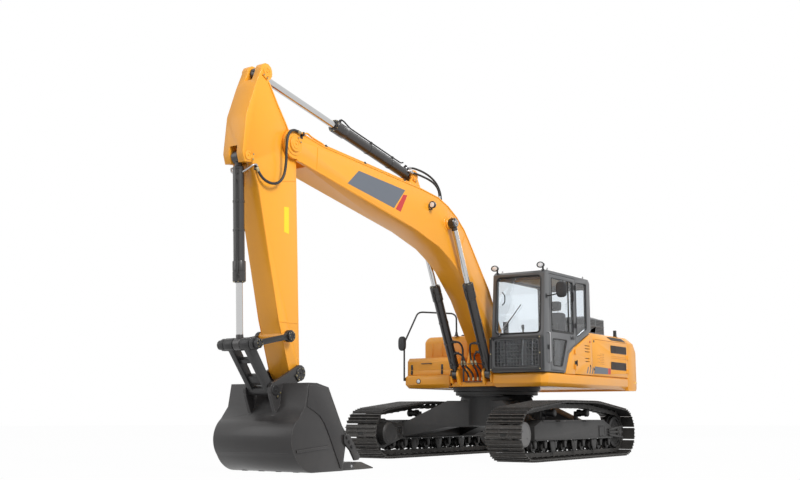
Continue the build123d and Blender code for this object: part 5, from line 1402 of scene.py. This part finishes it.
# mirrors: shells with a rim, glass, and clamps on their stays
shell_profile = [(0, 0.94), (0, 0.985), (0.004, 1.0), (0.018, 0.985), (0.036, 0.9), (0.045, 0.7),
                 (0.047, 0.3)]
for name, x, y, z, wide, high in (
    ("right", 0.787, -1.406, 1.915, 0.15, 0.25), ("left", 0.742, 1.62, 2.667, 0.19, 0.26),
):
    shell = oval(lathe((x, y, z), X, shell_profile, 48), y, z, wide / 2, high / 2)
    boss = lathe((x + 0.04, y, z), X, [(0, 0.024), (0.006, 0.024), (0.01, 0.016)], 24)
    assemble([shell, boss], "mirror_shell_" + name, plastic, "house", 40)
    glass = oval(lathe((x - 0.0015, y, z), X, [(0.0045, 0.93), (0, 0.93), (0, 0.3)], 48), y, z,
                 wide / 2, high / 2)
    settle(glass, "mirror_glass_" + name, mirror_glass, "house")
settle(billet((0.748, -1.404, 1.88), (0.792, -1.368, 1.95), 0.006, 3), "mirror_clamp_right",
       plastic, "house")
pipe([(0.765, 1.3615, 2.575), (0.765, 1.4, 2.575), (0.765, 1.56, 2.598), (0.765, 1.608, 2.64)],
     0.011, plastic, "mirror_arm_left", "house", 0.04)
settle(billet((0.735, cab_side, 2.54), (0.795, 1.3675, 2.612), 0.004), "mirror_foot_left", plastic,
       "house")
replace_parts(scene.objects["mirror_shell_left"], "mirrors")

# inside: headliner with its band, floor mat, consoles' trim, levers, monitor
settle(billet((-0.85, 0.464, 2.93), (0.735, 1.313, 2.952), 0.01, 3), "cab_headliner", tan_liner,
       "house")
settle(billet((0.64, 0.47, 2.865), (0.748, 1.307, 2.934), 0.012, 3), "cab_headliner_band",
       plastic_grey, "house")
settle(billet((-0.85, 0.466, 1.4175), (0.83, 1.311, 1.426), 0.003), "cab_floor_mat", rubber,
       "house")
console_sides = (cab_mid - 0.31, cab_mid + 0.31)
for k, y in enumerate(console_sides):
    grip = lathe((0.09, y, 2.04), (0.1, 0, 1),
                 [(0, 0.03), (0.008, 0.034), (0.02, 0.026), (0.04, 0.015), (0.07, 0.014),
                  (0.085, 0.022), (0.12, 0.026), (0.146, 0.024), (0.158, 0.014)], 24)
    settle(smooth(grip, 50), "joystick_%d" % k, plastic, "house")
    rest = billet((-0.3, y - 0.045, 2.008), (-0.02, y + 0.045, 2.04), 0.014, 4)
    settle(rest, "armrest_%d" % k, cloth, "house")
for k, y in enumerate((cab_mid - 0.09, cab_mid + 0.09)):
    pipe([(0.56, y, cab_floor), (0.56, y, 1.62), (0.548, y, 1.8), (0.5, y, 1.985)], 0.009,
         bare_steel, "travel_lever_%d" % k, "house", 0.06)
    knob = lathe((0.5, y, 1.97), (-0.25, 0, 1),
                 [(0, 0.01), (0.006, 0.016), (0.05, 0.018), (0.062, 0.012)], 20)
    settle(smooth(knob, 50), "travel_knob_%d" % k, plastic, "house")
    pedal = billet((0.5, y - 0.05, 1.45), (0.7, y + 0.05, 1.466), 0.006, 3)
    settle(pedal, "travel_pedal_%d" % k, rubber, "house")
settle(billet((0.56, 0.475, 2.02), (0.61, 0.56, 2.21), 0.01, 3), "cab_monitor", plastic, "house")
pipe([(0.585, 0.5, cab_floor), (0.585, 0.5, 2.03)], 0.012, plastic, "cab_monitor_post", "house")
pipe([(0.7, 0.52, 2.48), (0.65, 0.54, 2.52), (0.64, 0.54, 2.64), (0.69, 0.52, 2.69)], 0.009,
     plastic, "cab_screen_grab", "house", 0.03)
side_boxes = []
for y in console_sides:
    side_boxes.append(billet((-0.325, y - 0.053, 1.4265), (0.085, y + 0.053, 1.99), 0.022, 4))
    side_boxes.append(drawn_block(
        (0.04, y - 0.05, 1.94), (0.08, y + 0.05, 2.03), (1, 0, 0), 0.065, (1, 0.9, 0.8),
        (0.145, y, 1.985), 0.012))
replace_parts(assemble(side_boxes, "consoles_finished", plastic_grey, "house"), "consoles")


# ---------------------------------------------------------------- slewing house
rear_door, front_door = node_body["left_rear_door"], node_body["left_front_door"]


def louvre_panel(name, x_low, x_high, z_low, z_high, slats, body):
    """Dark air intake on the left wall: a rounded frame with a row of tilted slats in it, over a
    dark back sheet that is painted shade of the opening.
    """
    inner, outer = 1.3565, 1.368
    frame_bars = [
        block((x_low, inner, z_low), (x_high, outer, z_low + 0.01)),
        block((x_low, inner, z_high - 0.01), (x_high, outer, z_high)),
        block((x_low, inner, z_low), (x_low + 0.012, outer, z_high)),
        block((x_high - 0.012, inner, z_low), (x_high, outer, z_high)),
    ]
    assemble([bevel(bar, 0.003) for bar in frame_bars], name + "_frame", link_black, body)
    left, right, bottom, top = x_low + 0.004, x_high - 0.004, z_low + 0.004, z_high - 0.004
    # painted shade: dark sheet behind the slats stands in for the shade in the opening
    flat_plate([(x, 1.3562, z) for x, z in (
        (left, bottom), (right, bottom), (right, top), (left, top))], 0.0045, louvre_brown,
               name + "_back", body)
    bars = []
    tilt = Matrix.Rotation(math.radians(-35), 4, "X")
    for k in range(slats):
        z = z_low + (z_high - z_low) * (k + 0.5) / slats
        slat = billet((x_low + 0.008, -0.0045, -0.0016), (x_high - 0.008, 0.0045, 0.0016), 0.0012)
        slat.data.transform(Matrix.Translation((0, 1.3635, z)) @ tilt)
        bars.append(slat)
    assemble(bars, name + "_slats", louvre_brown, body)


louvre_brown = coat("louvre_brown_coat", (0.045, 0.034, 0.03), 0.55, varies=0.2, scale=6.0,
                    dust=0.2, dust_top=2.5)
louvre_panel("upper_intake", -2.425, -1.735, 1.785, 1.918, 11, rear_door)
louvre_panel("lower_intake", -2.405, -1.735, 1.492, 1.628, 11, rear_door)
# painted shade: dark sheet on the sloped shoulder intake, under its slats, stands in for the shade
# in the opening
slope = ((-1.717, 2.074), (-2.395, 2.074), (-2.455, 2.013), (-1.815, 2.013))
flat_plate([(x, 1.3604 - (z - 1.99) / 1.1, z) for x, z in slope], 0.006, louvre_brown,
           "shoulder_intake", "house")
bars = []
for k in range(6):
    z = 2.02 + k * 0.0098
    shift_x, lean = (z - 2.013) * 1.3, (z - 1.99) / 1.1
    bars.append(billet((-2.445 + shift_x * 0.75, 1.3664 - lean, z - 0.0015),
                       (-1.825 + shift_x * 1.2, 1.3704 - lean, z + 0.0015), 0.001))
assemble(bars, "shoulder_intake_slats", link_black, "house")
# pressed slots between the intakes and towards the front of the rear door, drawn as darker orange
# patches that are painted shade of the recesses
slots = []
for k in range(13):
    for row in range(2):
        x, z = -2.455 + k * 0.056, 1.693 + row * 0.028
        slots.append(billet((x - 0.017, 1.359, z), (x + 0.017, 1.3625, z + 0.009), 0.0025))
for k in range(5):
    for row in range(7):
        if k < 3 or row % 2:
            x, z = -1.415 + k * 0.06, 1.572 + row * 0.029
            slots.append(billet(
                (x - 0.018, 1.359, z - 0.0045), (x + 0.018, 1.3625, z + 0.0045), 0.0025))
# painted shade: darker orange that stands in for the shade in recesses
orange_painted_shade = coat("orange_shade_coat", (0.52, 0.185, 0.018), 0.45, varies=0.1, dust=0.15,
                   dust_top=2.0)
assemble(slots, "rear_door_slots", orange_painted_shade, rear_door)
# plain plate with its red end, and three slanted stripes
film_y = 1.3602
flat_plate([(x, film_y, z) for x, z in (
    (-0.995, 1.395), (-1.58, 1.402), (-1.592, 1.508), (-1.03, 1.52))], film_thick, label_grey,
           "door_stripe_grey", rear_door)
flat_plate([(x, film_y, z) for x, z in (
    (-1.59, 1.402), (-1.7, 1.404), (-1.716, 1.508), (-1.602, 1.508))], film_thick, label_red,
           "door_stripe_red", rear_door)
for k in range(3):
    x = -0.9 + k * 0.105
    flat_plate([(a, film_y, z) for a, z in (
        (x, 1.392), (x - 0.038, 1.391), (x - 0.09, 1.5), (x - 0.06, 1.502))], film_thick,
               label_grey, "door_stripe_%d" % k, front_door)
key_barrel = [(0, 0.012), (0.003, 0.012), (0.003, 0.004), (0.001, 0.003)]


def lock(x, z, plate_y, sign, name, material, body):
    """Round key plate with its barrel, on a door's skin."""
    plate = ring((x, plate_y, z), Y, 0.005, 0.021, 0.012, 0.002, 24)
    barrel = lathe((x, sign * 1.36, z), sign * Y, key_barrel, 20)
    assemble([plate, barrel], name, material, body)


# locks and reflectors
for k, (x, z, body) in enumerate(
        ((-0.85, 1.93, front_door), (-0.85, 1.52, front_door), (-1.01, 1.95, rear_door),
         (-1.01, 1.47, rear_door),)):
    lock(x, z, 1.3598, 1, "left_lock_%d" % k, label_red if k == 0 else plastic, body)
for x, z in ((-1.24, 1.9), (-1.24, 1.45), (-2.42, 1.65)):
    lock(x, z, -1.3648, -1, "right_lock", plastic, node_body["right_door"])
for sign, side in both_sides:
    lens_plate = billet((-2.9, sign * 1.36 - 0.004, 1.262), (-2.79, sign * 1.36 + 0.004, 1.302),
                        0.003)
    settle(lens_plate, "side_reflector_" + side, reflector, "house")
    tail = billet((-3.034, sign * 0.9 - 0.07, 1.395), (-2.985, sign * 0.9 + 0.07, 1.435), 0.008, 3)
    settle(tail, "tail_reflector_" + side, reflector, "house")
# counterweight: collars round its two lifting eyes
collars = [ring((-2.64, y, 2.099), Z, 0.01, 0.052, 0.024, 0.004, 32) for y in (-0.6, 0.6)]
assemble(collars, "counterweight_eye_collars", orange, "house")
# hood: pressed stiffening ribs, handles and latches
hood = node_body["engine_hood"]
ribs = []
for y in (-0.7, -0.42, -0.14, 0.14):
    ribs.append(billet((-2.35, y - 0.045, 2.1), (-1.3, y + 0.045, 2.113), 0.011, 4))
assemble(ribs, "hood_ribs", orange, hood)
pipe([(-2.4, -0.2, 2.1035), (-2.4, -0.2, 2.14), (-2.4, 0.06, 2.14), (-2.4, 0.06, 2.1035)], 0.01,
     plastic, "hood_handle", hood, 0.03)
latches = []
for y in (-0.72, 0.52):
    latches.append(billet((-2.445, y - 0.03, 2.103), (-2.385, y + 0.03, 2.116), 0.004))
    latches.append(billet((-2.435, y - 0.012, 2.113), (-2.39, y + 0.012, 2.123), 0.004))
assemble(latches, "hood_latches", plastic, hood)
# pre-cleaner box: bars over dark strips that are painted shade in its windows, its seam and the seal
# at its foot
vent, vent_x, vent_y = node_body["hood_vent"], -1.625, 0.765


def vent_strips(half_long, proud, z_low, z_high):
    """One upright strip in each of the box's eight windows of a row, two on every wall."""
    strips = []
    for step in (-0.24, 0.24):
        for side in (1, -1):
            x, y = vent_x + step * 0.75, vent_y + side * 0.36
            strips.append(block(
                (x - half_long, y - proud, z_low), (x + half_long, y + proud, z_high)))
            x, y = vent_x + side * 0.37, vent_y + step * 0.73
            strips.append(block(
                (x - proud, y - half_long, z_low), (x + proud, y + half_long, z_high)))
    return strips


bars, gap_shades = [], []
for row in (0.3, 0.7):
    z = 2.104 + 0.316 * row
    gap_shades += vent_strips(0.155, 0.0015, z - 0.052, z + 0.058)
    for k in range(4):
        bar_z = z - 0.04 + k * 0.0265
        bars += vent_strips(0.15, 0.003, bar_z, bar_z + 0.01)
# painted shade: near-black strips in the windows stand in for the shade inside the box
settle(bevel(join(gap_shades), 0.0008, 1), "vent_gap_shades", gasket, vent)
bevel(settle(join(bars), "vent_bars", plastic_grey, vent), 0.0015, 1)
loop_seal(level((-1.25, -2.0), (0.4, 1.13), 2.262), 0.008, plastic_grey, "vent_seam", vent, 0.02)
loop_seal(level((-1.24, -2.01), (0.39, 1.14), 2.112), 0.012, gasket, "vent_base_seal", vent, 0.02)
# exhaust with its rolled lip
stack = lathe((-2.25, 1.23, 2.098), Z,
              [(0, 0.046), (0.006, 0.046), (0.01, 0.033), (0.09, 0.03), (0.116, 0.031),
               (0.122, 0.0305), (0.122, 0.0265), (0.06, 0.026)], 32)
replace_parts(settle(smooth(stack), "exhaust_finished", plastic, node_body["exhaust_pipe"]),
            "exhaust_pipe")

# tank: pressed swages, filler cap; toolbox: latches, handle, treads; step lamp
swages = []
for y in (-1.2, -1.0, -0.8, -0.6):
    swages.append(billet((0.144, y - 0.016, 1.72), (0.156, y + 0.016, 1.94), 0.006, 3))
assemble(swages, "tank_swages", orange, "house")
cap = lathe((-0.5, -0.92, 2.058), Z,
            [(0, 0.075), (0.01, 0.075), (0.014, 0.055), (0.02, 0.055), (0.022, 0.062),
             (0.06, 0.062), (0.066, 0.056), (0.068, 0.02)], 36)
settle(smooth(cap, 30), "tank_filler_cap", plastic, "house")
lid, latch_places = node_body["toolbox_lid"], (-1.27, -0.657)
latches = []
for y in latch_places:
    latches.append(billet((0.699, y - 0.02, 1.375), (0.706, y + 0.02, 1.448), 0.003))
    latches.append(billet((0.706, y - 0.011, 1.385), (0.716, y + 0.011, 1.44), 0.004))
assemble(latches, "toolbox_latches", link_black, "house")
keepers = [billet((0.695, y - 0.02, 1.454), (0.702, y + 0.02, 1.545), 0.003) for y in latch_places]
assemble(keepers, "toolbox_keepers", link_black, lid)
pipe([(0.695, -1.06, 1.56), (0.728, -1.06, 1.56), (0.728, -0.87, 1.56), (0.695, -0.87, 1.56)],
     0.008, plastic, "toolbox_handle", lid, 0.02)
shell = lathe((0.75, -1.09, 1.262), X,
              [(0, 0.04), (0.008, 0.042), (0.022, 0.042), (0.026, 0.038), (0.026, 0.034),
               (0.02, 0.032)], 32)
settle(smooth(shell), "step_lamp", plastic, "house")
glass = lathe((0.7705, -1.09, 1.262), X, [(0, 0.033), (0.003, 0.03), (0.005, 0.01)], 24)
settle(smooth(glass, 60), "step_lamp_lens", lens, "house")
treads = [lathe((0.235 + k * 0.085, -1.24 + j * 0.08, 1.6585), Z, [(0, 0.014), (0.003, 0.011)], 8)
          for k in range(5) for j in range(9)]
assemble(treads, "toolbox_treads", bare_steel, lid, 60)
# grab rail from the deck over the tank, with its feet and clamps
pipe([(0.765, -1.386, 1.29), (0.765, -1.386, 1.926), (0.323, -1.386, 2.5), (0.1, -0.8, 2.458),
      (0.1, -0.73, 2.4), (0.1, -0.73, 2.062)], 0.015, link_black, "grab_rail", "house", 0.09, 4)
foot = lathe((0.1, -0.73, 2.0585), Z,
             [(0, 0.045), (0.008, 0.045), (0.012, 0.03), (0.075, 0.018), (0.08, 0.015)], 28)
plate = billet((0.705, -1.39, 1.272), (0.79, -1.3605, 1.33), 0.005)
assemble([foot, plate], "grab_rail_feet", link_black, "house")
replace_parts(scene.objects["grab_rail"], "handrails")
bolts([(0.722, -1.3905, 1.288), (0.722, -1.3905, 1.314)], -Y, 0.008, 0.007, zinc, "grab_rail_bolts",
      "house")

# front of the house between the boom's plates: the hoses' flange and the stay that holds them
settle(billet((0.745, -0.13, 1.228), (0.835, 0.235, 1.241), 0.004), "hose_flange", link_black,
       "house")
stay = [billet((0.905, -0.17, 1.515), (0.975, 0.2, 1.526), 0.004),
        billet((0.826, -0.17, 1.232), (0.838, -0.14, 1.526), 0.004),
        billet((0.826, 0.205, 1.232), (0.838, 0.223, 1.526), 0.004),
        billet((0.826, -0.17, 1.515), (0.91, -0.15, 1.526), 0.004),
        billet((0.826, 0.19, 1.515), (0.91, 0.223, 1.526), 0.004)]
assemble(stay, "hose_stay", link_black, "house")

# seat: cushions with crowned faces, piped edges and bolsters, on a bellows base
def seat_pad(name, low, high, crown):
    """Foam pad: a box cut into a grid, its faces crowned and its edges drawn in, then smoothed."""
    pad = block(low, high)
    bpy.ops.object.mode_set(mode="EDIT")
    bpy.ops.mesh.select_all(action="SELECT")
    bpy.ops.mesh.subdivide(number_cuts=5)
    middle = [(a + b) / 2 for a, b in zip(low, high)]
    half = [(b - a) / 2 for a, b in zip(low, high)]
    mesh = bmesh.from_edit_mesh(pad.data)
    for corner in mesh.verts:
        near = [(corner.co[i] - middle[i]) / half[i] for i in range(3)]
        for i in range(3):
            others = [near[j] for j in range(3) if j != i]
            bulge = (1 - others[0] ** 2) * (1 - others[1] ** 2)
            corner.co[i] += near[i] * crown[i] * (bulge - 0.5)
    bmesh.update_edit_mesh(pad.data)
    bpy.ops.object.mode_set(mode="OBJECT")
    take(pad)
    soft = pad.modifiers.new("soft", "SUBSURF")
    soft.levels = soft.render_levels = 2
    bpy.ops.object.modifier_apply(modifier=soft.name)
    take(pad)
    bpy.ops.object.shade_smooth()
    return settle(pad, name, cloth, "house")


lean = Matrix.Translation((-0.35, cab_mid, 1.86)) @ Matrix.Rotation(math.radians(-8), 4, "Y")
cushion = seat_pad("seat_cushion", (-0.34, 0.66, 1.76), (0.12, 1.117, 1.9), (0.01, 0.012, 0.04))
for name, low, high, crown in (
    ("seat_back", (-0.06, -0.225, 0.02), (0.06, 0.225, 0.56), (0.04, 0.016, 0.016)),
    ("seat_headrest", (-0.045, -0.135, 0.6), (0.045, 0.135, 0.76), (0.026, 0.012, 0.012)),
    ("seat_bolster_a", (-0.01, -0.235, 0.06), (0.085, -0.165, 0.5), (0.012, 0.01, 0.02)),
    ("seat_bolster_b", (-0.01, 0.165, 0.06), (0.085, 0.235, 0.5), (0.012, 0.01, 0.02)),
):
    pad = seat_pad(name, low, high, crown)
    pad.parent = None
    pad.data.transform(lean)
    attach(pad, "house")
for name, y in (("seat_cushion_bolster_a", cab_mid - 0.2),
                ("seat_cushion_bolster_b", cab_mid + 0.2)):
    bolster = seat_pad(name, (-0.33, y - 0.035, 1.85), (0.09, y + 0.035, 1.92), (0.01, 0.01, 0.02))
loop_seal([(x, y, 1.872) for x, y in (
    (-0.336, 0.668), (0.112, 0.668), (0.112, 1.109), (-0.336, 1.109))], 0.005, cloth,
          "seat_cushion_piping", "house", 0.05)
settle(billet((-0.36, 0.7, 1.7), (0.08, 1.077, 1.764), 0.016, 4), "seat_pan", plastic, "house")
folds = [(0, 0.15)]
for k in range(6):
    folds += [(0.02 + k * 0.042, 0.205), (0.041 + k * 0.042, 0.168)]
bellows = lathe((-0.15, cab_mid, 1.4262), Z, folds + [(0.275, 0.19)], 4)
centre = Matrix.Translation((-0.15, cab_mid, 0))
bellows.data.transform(centre @ Matrix.Rotation(math.radians(45), 4, "Z") @ centre.inverted())
settle(bevel(bellows, 0.01, 3, 20), "seat_bellows", rubber, "house")
stalks = [lathe((-0.48, cab_mid + s * 0.06, 2.4), (-0.14, 0, 1), [(0, 0.007), (0.085, 0.007)], 12)
          for s in (-1, 1)]
assemble(stalks, "seat_headrest_stalks", bare_steel, "house", 40)
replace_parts(cushion, "seat")


# ---------------------------------------------------------------- hydraulic hoses
def hose(name, points, radius):
    """Rubber hose along its own smooth line, from one body to another that a joint joins."""
    deselect()
    data = bpy.data.curves.new(name, "CURVE")
    data.dimensions = "3D"
    data.resolution_u = 10
    line = data.splines.new("NURBS")
    line.points.add(len(points) - 1)
    for spot, place in zip(line.points, points):
        spot.co = (*place, 1)
    line.order_u = 3
    line.use_endpoint_u = True
    tube = bpy.data.objects.new(name, data)
    scene.collection.objects.link(tube)
    bpy.context.view_layer.update()
    bare = bpy.data.meshes.new_from_object(tube)
    centre = [corner.co.copy() for corner in bare.vertices]
    bpy.data.meshes.remove(bare)
    data.bevel_depth = radius
    data.bevel_resolution = 3
    data.use_fill_caps = True
    take(tube)
    bpy.ops.object.convert(target="MESH")
    tube = smooth(bpy.context.active_object, 60)
    paint(tube, rubber)
    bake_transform(tube)
    return centre


def crimp(name, place, along, radius, long, material, body):
    """Swaged ferrule and union nut at a hose's end."""
    along = Vector(along).normalized()
    full, waist = radius + 0.005, radius + 0.003
    sleeve = lathe(place, along,
                   [(0, waist), (0.003, full), (long * 0.28, full), (long * 0.3, waist),
                    (long * 0.34, waist), (long * 0.36, full), (long * 0.62, full),
                    (long * 0.64, radius - 0.002)], 20)
    nut = lathe(Vector(place) + along * long * 0.64, along,
                [(0, radius + 0.006), (long * 0.3, radius + 0.006), (long * 0.36, radius)], 6)
    assemble([sleeve, nut], name, material, body, 30)


barrel_left, barrel_right = node_body["boom_cylinder_left_barrel"], node_body[
    "boom_cylinder_right_barrel"]
hose_radius, tip_hose_radius = 0.0165, 0.0175
# four hoses from the nose of the house up through the stay to the boom cylinders
for name, barrel, points in (
        ("boom_hose_a", barrel_right,
         ((0.79, -0.075, 1.256), (0.79, -0.078, 1.33), (0.84, -0.11, 1.42), (0.925, -0.134, 1.49),
          (0.95, -0.112, 1.58), (0.955, -0.088, 1.69), (0.99, -0.078, 1.8), (1.032, -0.105, 1.868),
          (1.045, -0.15, 1.882), (1.045, -0.208, 1.882))),
        ("boom_hose_b", barrel_right,
         ((0.79, 0.01, 1.256), (0.79, 0.01, 1.33), (0.84, -0.02, 1.42), (0.925, -0.062, 1.49),
          (0.945, -0.068, 1.57), (0.948, -0.085, 1.64), (0.962, -0.14, 1.69),
          (0.965, -0.208, 1.7))),
        ("boom_hose_c", barrel_left,
         ((0.79, 0.095, 1.256), (0.79, 0.098, 1.33), (0.84, 0.092, 1.42), (0.925, 0.088, 1.49),
          (0.95, 0.06, 1.58), (0.955, 0.046, 1.68), (0.985, 0.06, 1.78), (1.025, 0.095, 1.838),
          (1.036, 0.145, 1.85), (1.036, 0.208, 1.85))),
        ("boom_hose_d", barrel_left,
         ((0.79, 0.18, 1.256), (0.79, 0.184, 1.33), (0.84, 0.18, 1.42), (0.925, 0.158, 1.49),
          (0.945, 0.13, 1.57), (0.948, 0.118, 1.64), (0.962, 0.15, 1.695),
          (0.968, 0.208, 1.708))),):
    centre = hose(name, points, hose_radius)
    crimp(name + "_ferrule", centre[0] + Z * 0.05, -Z, hose_radius, 0.052, zinc, "house")
    start = Vector(points[3]).lerp(Vector(points[4]), 0.2)
    crimp(name + "_union", start, Vector(points[4]) - Vector(points[3]), hose_radius, 0.075, zinc,
          "house")
    inward = Y if barrel == barrel_left else -Y
    crimp(name + "_end", centre[-1] - inward * 0.045, inward, hose_radius, 0.05, link_black, barrel)
    boss = lathe(centre[-1] - inward * 0.002, inward,
                 [(0, 0.021), (0.01, 0.021), (0.012, 0.03), (0.036, 0.03)], 16)
    settle(smooth(boss, 30), name + "_boss", barrel_black, barrel)

# a hose on each side from the boom's tip to the arm, with steel lines at both ends
for sign, side in both_sides:
    route = [(x, sign * y, z) for x, y, z in (
        (5.6, 0.242, 4.345), (5.665, 0.244, 4.354), (5.745, 0.254, 4.35), (5.835, 0.266, 4.31),
        (5.888, 0.272, 4.22), (5.905, 0.272, 4.06), (5.89, 0.262, 3.88), (5.92, 0.256, 3.7),
        (6.01, 0.25, 3.595), (6.14, 0.245, 3.56), (6.26, 0.228, 3.59), (6.332, 0.206, 3.66),
        (6.362, 0.19, 3.735))]
    centre = hose("tip_hose_" + side, route, tip_hose_radius)
    first = (centre[3] - centre[0]).normalized()
    crimp("tip_hose_start_" + side, centre[0] + first * 0.052, -first, tip_hose_radius, 0.058, zinc,
          "boom_body")
    out = (centre[-1] - centre[-4]).normalized()
    crimp("tip_hose_end_" + side, centre[-1] - out * 0.052, out, tip_hose_radius, 0.06, zinc,
          "arm_body")
    pipe([(x, sign * y, z) for x, y, z in (
        (5.075, 0.19, 4.318), (5.3, 0.2, 4.352), (5.44, 0.232, 4.376), (5.52, 0.243, 4.35),
        (5.598, 0.242, 4.345))], 0.013, orange, "tip_line_" + side, "boom_body", 0.05)
    bracket = [billet((5.53, sign * 0.239 - 0.025, 4.31), (5.556, sign * 0.239 + 0.025, 4.366),
                      0.005),
               billet((5.515, sign * 0.2175 - 0.003, 4.282), (5.57, sign * 0.2175 + 0.003, 4.364),
                      0.002)]
    assemble(bracket, "tip_line_bracket_" + side, link_black, "boom_body")
    junction = [billet((6.338, sign * 0.17 - 0.006, 3.705), (6.388, sign * 0.17 + 0.006, 3.765),
                       0.004),
                billet((6.345, sign * 0.191 - 0.017, 3.728), (6.38, sign * 0.191 + 0.017, 3.752),
                       0.005)]
    assemble(junction, "arm_junction_" + side, link_black, "arm_body")
    pipe([(x, sign * y, z) for x, y, z in (
        (6.362, 0.19, 3.745), (6.366, 0.19, 3.775), (6.43, 0.188, 3.76), (6.488, 0.12, 3.69),
        (6.496, 0.076, 3.67))], 0.012, bare_steel, "bucket_line_" + side, "arm_body", 0.03)

# two hoses over the boom's top to the arm cylinder's ports
barrel_arm = node_body["arm_cylinder_barrel"]
for k, points in enumerate(
        (((1.905, 0.1, 4.018), (1.905, 0.1, 4.1), (1.925, 0.1, 4.2), (2.0, 0.099, 4.305),
          (2.13, 0.096, 4.385), (2.3, 0.092, 4.435), (2.48, 0.086, 4.458), (2.64, 0.08, 4.464),
          (2.72, 0.076, 4.456), (2.79, 0.072, 4.44)),
         ((2.05, 0.16, 4.066), (2.05, 0.16, 4.14), (2.08, 0.158, 4.225), (2.18, 0.15, 4.3),
          (2.33, 0.142, 4.34), (2.5, 0.137, 4.356), (2.64, 0.134, 4.364), (2.73, 0.124, 4.37),
          (2.79, 0.106, 4.374)),)):
    centre = hose("arm_cylinder_hose_%d" % k, points, hose_radius)
    crimp("arm_cylinder_hose_start_%d" % k, centre[0] + Z * 0.052, -Z, hose_radius, 0.054,
          bare_steel, "boom_body")
    out = (centre[-1] - centre[-4]).normalized()
    crimp("arm_cylinder_hose_end_%d" % k, centre[-1] - out * 0.045, out, hose_radius, 0.056,
          bare_steel, barrel_arm)
pipe([(2.79, 0.072, 4.44), (2.838, 0.068, 4.446), (2.862, 0.05, 4.425)], 0.011, bare_steel,
     "arm_elbow_0", barrel_arm, 0.02)
pipe([(2.79, 0.106, 4.374), (2.84, 0.102, 4.384), (2.862, 0.06, 4.384)], 0.011, bare_steel,
     "arm_elbow_1", barrel_arm, 0.02)
# painted shade: the port pads under the hoses are in the darker orange that stands in for shade
patches = [billet((1.878, 0.07, 3.98), (1.935, 0.13, 4.01), 0.006, 3),
           billet((2.02, 0.13, 4.026), (2.08, 0.19, 4.058), 0.006, 3)]
assemble(patches, "boom_top_ports", orange_painted_shade, "boom_body")


# ---------------------------------------------------------------- end
deselect()
bpy.context.view_layer.update()
